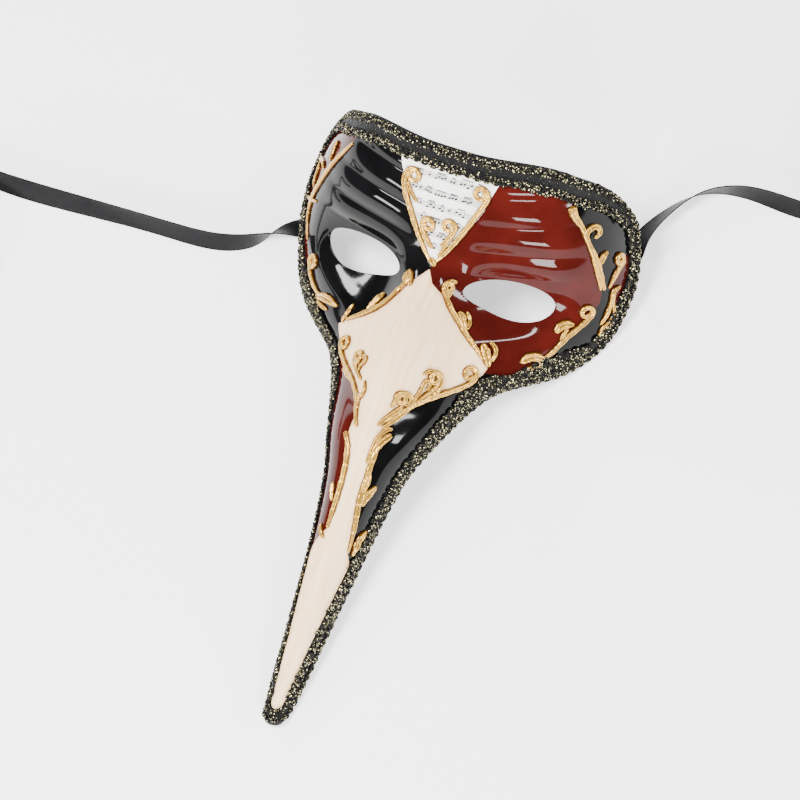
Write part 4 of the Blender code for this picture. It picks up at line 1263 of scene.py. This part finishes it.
class Score:
    """Staves and notes printed on the paper, in millimetres across from its middle and down from its top."""

    def __init__(self, b, skin):
        self.b = b
        self.skin = skin
        self.rows = np.linspace(PAPER_TOP, PAPER_BOTTOM, DEPTH_SAMPLES)
        self.depths = running(surface(self.rows, np.zeros(DEPTH_SAMPLES)))
        self.bottom = self.depths[-1]
        self.draw = np.random.default_rng(7)

    def row_at(self, down):
        return float(np.interp(down, self.depths, self.rows))

    def reach(self, down, margin):
        """Half of the paper's width at a depth, less a margin given as a place across."""
        return (float(np.interp(self.row_at(down), PAPER_ROWS, PAPER_HALVES)) - margin) * MM_ACROSS

    def mark(self, outline):
        """Closed flat mark through points (across, down)."""
        spots = []
        for across, down in outline:
            spot = surface(self.row_at(down), across / MM_ACROSS)
            spots.append(spot + self.skin.nearest(spot)[1] * INK_FACE)
        self.b.add(rest(np.array(spots)), [tuple(range(len(spots)))], 1)

    def bar(self, start, end, thick, steps=1):
        """Straight line of ink, in steps that follow the curve of the paper."""
        start, end = np.array(start), np.array(end)
        out = unit(end - start)[::-1] * [-1, 1] * thick / 2
        for k in range(steps):
            p, q = start + (end - start) * k / steps, start + (end - start) * (k + 1) / steps
            self.mark([p + out, q + out, q - out, p - out])

    def note_head(self, x, down):
        outline = []
        for angle in np.linspace(0, 2 * math.pi, 9)[:-1]:
            c, s = math.cos(angle), math.sin(angle)
            outline.append((x + HEAD_LENGTH * c, down + HEAD_HEIGHT * s - HEAD_SLANT * c))
        self.mark(outline)

    def beams(self, stems):
        """Stems up to one beam, and often a second beam, slanting under it."""
        beam = max(min(down for _, down in stems) - STEM_LENGTH, 0.3)
        for x, down in stems:
            self.bar((x, down), (x, beam), LINE_THICK)
        if len(stems) > 1:
            left, right = stems[0][0] - BEAM_OVERHANG, stems[-1][0] + BEAM_OVERHANG
            self.bar((left, beam), (right, beam), BEAM_THICK, 3)
            if self.draw.random() < 0.5:
                start, end, thick = SECOND_BEAM
                self.bar((left, beam + start), (right, beam + end), thick, 3)

    def notes(self, down, reach):
        """Groups of one to four notes from the left of a staff to its right."""
        place = -reach + 1.6
        while place < reach - 2.2:
            group = int(self.draw.integers(1, 5))
            pitch = self.draw.uniform(1.25, 1.7)
            levels = down + self.draw.integers(-3, 3, group) * LINE_GAP / 2 + 0.5
            stems = []
            for k in range(group):
                x = place + k * pitch
                if x > reach - 1.2:
                    break
                self.note_head(x, float(levels[k]))
                stems.append((x + STEM_OFFSET, float(levels[k])))
            if stems:
                self.beams(stems)
            place += group * pitch + self.draw.uniform(0.7, 2.4)

    def staff(self, row):
        down = float(np.interp(row, self.rows, self.depths))
        for line in range(5):
            level = down + (line - 2) * LINE_GAP
            if 0.4 < level < self.bottom - 1.5:
                reach = self.reach(level, 0.012)
                self.bar((-reach, level), (reach - 0.6, level), LINE_THICK, 14)
        reach = self.reach(min(down + 1.5, self.bottom), 0.02)
        self.notes(down, reach)
        end = reach - 0.4
        self.bar((end, down - 2 * LINE_GAP), (end, down + 2 * LINE_GAP), BAR_LINE_THICK)


def build_paper(skin, paper, ink):
    """Triangle of paper that follows the forehead, with its printed score."""
    b = Builder()
    rings = []
    for row in np.linspace(PAPER_TOP, PAPER_BOTTOM, PAPER_STEPS + 1):
        half = float(np.interp(row, PAPER_ROWS, PAPER_HALVES))
        spread = PAPER_SHIFT + half * np.linspace(-1, 1, PAPER_COLUMNS + 1)
        spots = surface(np.full(PAPER_COLUMNS + 1, row), spread)
        normals = np.array([skin.nearest(p)[1] for p in spots])
        face, underside = spots + normals * PAPER_TOP_FACE, spots + normals * PAPER_UNDERSIDE
        rings.append(np.concatenate([face, underside[::-1]]))
    b.tube(rest(np.array(rings)))
    score = Score(b, skin)
    for row in STAVES:
        score.staff(row)
    b.piece("music_sheet", [paper, ink], "score_paper", ("music_paper",), 50)


# ---------------------------------------------------------------- felt squares

PATCH_SIDE = 15.0
PATCH_THICK = 1.2
PATCH_CENTRE = np.array([70.5, 99.9, 22.8])
PATCH_NORMAL = np.array([0.78, -0.46, 0.44])
PATCH_HEADING_LEFT = np.array([-0.38, -0.22, -0.90])
PATCH_HEADING_RIGHT = np.array([0.59, 0.69, -0.42])
PATCH_POINTS = 96
PATCH_SQUARENESS = 7
PATCH_FUZZ = 0.07
# Rings round the square from its face to its back: height, and inset of the edge.
PATCH_LAYERS = ((0.6, 0.5), (0.52, 0.12), (0.2, 0.0), (-0.2, 0.0), (-0.52, 0.12), (-0.6, 0.5))


def build_patch(name, side, heading, felt):
    """Felt square with soft corners and a slightly fuzzy, uneven face."""
    mirror = np.array([side, 1, 1])
    centre, normal = PATCH_CENTRE * mirror, unit(PATCH_NORMAL * mirror)
    level = unit(np.cross(normal, heading))
    forward = np.cross(level, normal)
    centre = centre - normal * PATCH_THICK / 2
    draw = np.random.default_rng(11)
    rings = []
    for height, inset in PATCH_LAYERS:
        ring = []
        for k in range(PATCH_POINTS):
            angle = 2 * math.pi * k / PATCH_POINTS
            c, s = math.cos(angle), math.sin(angle)
            square = (abs(c) ** PATCH_SQUARENESS + abs(s) ** PATCH_SQUARENESS) ** (-1 / PATCH_SQUARENESS)
            reach = (PATCH_SIDE / 2 - inset) * square + draw.uniform(-PATCH_FUZZ, PATCH_FUZZ)
            ring.append(centre + level * c * reach + forward * s * reach + normal * height)
        rings.append(ring)
    b = Builder()
    b.tube(np.array(rings) * MM)
    b.piece(name, [felt], "felt", ("ribbon_" + name[5:],), 60)


# ---------------------------------------------------------------- ribbons

RIBBON_WIDTH = 10.0
RIBBON_THICK = 0.45
RIBBON_LIFT = 0.15
RIBBON_LENGTH = 500.0
STRIP_HALF_THICK = 0.18
SELVAGE_HALF_THICK = 0.30
SAMPLES_PER_POINT = 12
COIL_PITCH = 7.0
COIL_STEP = 1.0
COIL_CENTRE_LEFT = (-272.0, 25.0)
COIL_CENTRE_RIGHT = (182.0, 229.0)
ROUTE_LEFT = [
    (-73.0, 98.5, 15.0, 0), (-73.6, 98.3, 11.0, 0), (-74.1, 98.6, 6.4, 0),
    (-75.6, 98.9, 2.5, 0), (-78.6, 98.9, 0.3, 0), (-82.0, 98.2, 0.0, 0),
    (-87.0, 95.6, 0.0, -12), (-94.6, 89.0, 0.0, -62), (-103.5, 80.5, 0.0, -112),
    (-119.6, 75.2, 0.0, -126), (-141.5, 74.3, 0.0, -120), (-167.3, 74.1, 0.0, -120),
    (-197.8, 72.4, 0.0, -134), (-228.6, 71.8, 0.0, -146), (-246.0, 72.0, 0.0, -122),
    (-258.0, 72.0, 0.0, -90),
]
ROUTE_RIGHT = [
    (74.8, 105.6, 14.4, -63), (76.1, 109.8, 11.7, -62), (76.9, 115.6, 7.6, -60),
    (76.4, 123.0, 3.0, -52), (75.5, 132.0, 0.8, -18), (76.5, 144.0, 0.0, 30),
    (82.0, 156.6, 0.0, 46), (90.0, 169.0, 0.0, 60), (99.6, 177.6, 0.0, 76),
    (115.8, 182.5, 0.0, 102), (130.0, 182.6, 0.0, 118), (142.0, 181.7, 0.0, 126),
    (155.0, 181.8, 0.0, 114), (168.0, 182.0, 0.0, 90),
]


def ribbon_line(route, centre):
    """Centreline in millimetres and the strip's wide direction, from the patch to the end in the coil."""
    samples = spline_samples(route, SAMPLES_PER_POINT * (len(route) - 1) + 1)
    lean = np.radians(samples[:, 3])
    rise = RIBBON_WIDTH / 2 * np.abs(np.sin(lean))
    points = samples[:, :3].copy()
    points[:, 2] += RIBBON_THICK / 2 + RIBBON_LIFT + rise
    along = tangents(points)
    level = unit(np.cross(along, [0, 0, 1]))
    upright = np.cross(level, along)
    wide = level * np.cos(lean)[:, None] + upright * np.sin(lean)[:, None]
    end, heading = points[-1], along[-1]
    height = end[2]
    unseen = RIBBON_LENGTH - running(points)[-1]
    centre = np.array(centre)
    arm = end[:2] - centre
    angle = math.atan2(arm[1], arm[0])
    radius = np.linalg.norm(arm)
    turn = math.copysign(1, arm[0] * heading[1] - arm[1] * heading[0])
    tail = []
    for _ in range(int(unseen / COIL_STEP)):
        angle += turn * COIL_STEP / radius
        radius -= COIL_PITCH * COIL_STEP / (2 * math.pi * radius)
        tail.append((centre[0] + radius * math.cos(angle), centre[1] + radius * math.sin(angle), height))
    standing = (0.0, 0.0, -1.0 if wide[-1][2] < 0 else 1.0)
    return np.concatenate([points, tail]), np.concatenate([wide, [standing] * len(tail)])


def build_ribbon(side, route, centre, satin):
    """Satin strip with thicker woven edges, cupped a little, and what is left of it wound in a coil."""
    points, wide = ribbon_line(route, centre)
    along = tangents(points)
    wide = unit(wide - along * (wide * along).sum(1)[:, None])
    thick = np.cross(wide, along)
    lengths = running(points)
    front = []
    for offset in np.linspace(-1, 1, 13):
        edge = SELVAGE_HALF_THICK if abs(offset) > 0.98 else STRIP_HALF_THICK
        front.append((offset * RIBBON_WIDTH / 2, edge))
    outline = np.array(front + [(a, -h) for a, h in front[::-1]])
    across, height = outline[:, 0], outline[:, 1]
    cup = 0.25 * np.sin(lengths / 23.0) + 0.12 * np.sin(lengths / 7.3 + 1)
    rise = height + cup[:, None] * ((across / (RIBBON_WIDTH / 2)) ** 2 - 0.4)
    rings = points[:, None] + wide[:, None] * across[:, None] + thick[:, None] * rise[..., None]
    b = Builder()
    b.tube(rings * MM)
    nodes = ("ribbon_" + side, "ribbon_coil_" + side)
    item = b.piece("satin_tie_" + side, [satin], "ribbon_satin", nodes, 60)
    paint(item.data, "across_mm", np.tile(across, len(points)))
    paint(item.data, "along_mm", np.repeat(lengths, len(outline)))


def main():
    build_camera()
    build_stage()
    satin = satin_material()
    build_ribbon("left", ROUTE_LEFT, COIL_CENTRE_LEFT, satin)
    build_ribbon("right", ROUTE_RIGHT, COIL_CENTRE_RIGHT, satin)
    skin = Skin()
    build_shell(paint_material(), lining_material())
    build_paper(skin, paper_material(), ink_material())
    build_relief(skin, gold_material())
    build_braid(skin, gimp_material(), core_material())
    felt = felt_material()
    build_patch("felt_patch_left", -1, PATCH_HEADING_LEFT, felt)
    build_patch("felt_patch_right", 1, PATCH_HEADING_RIGHT, felt)


main()
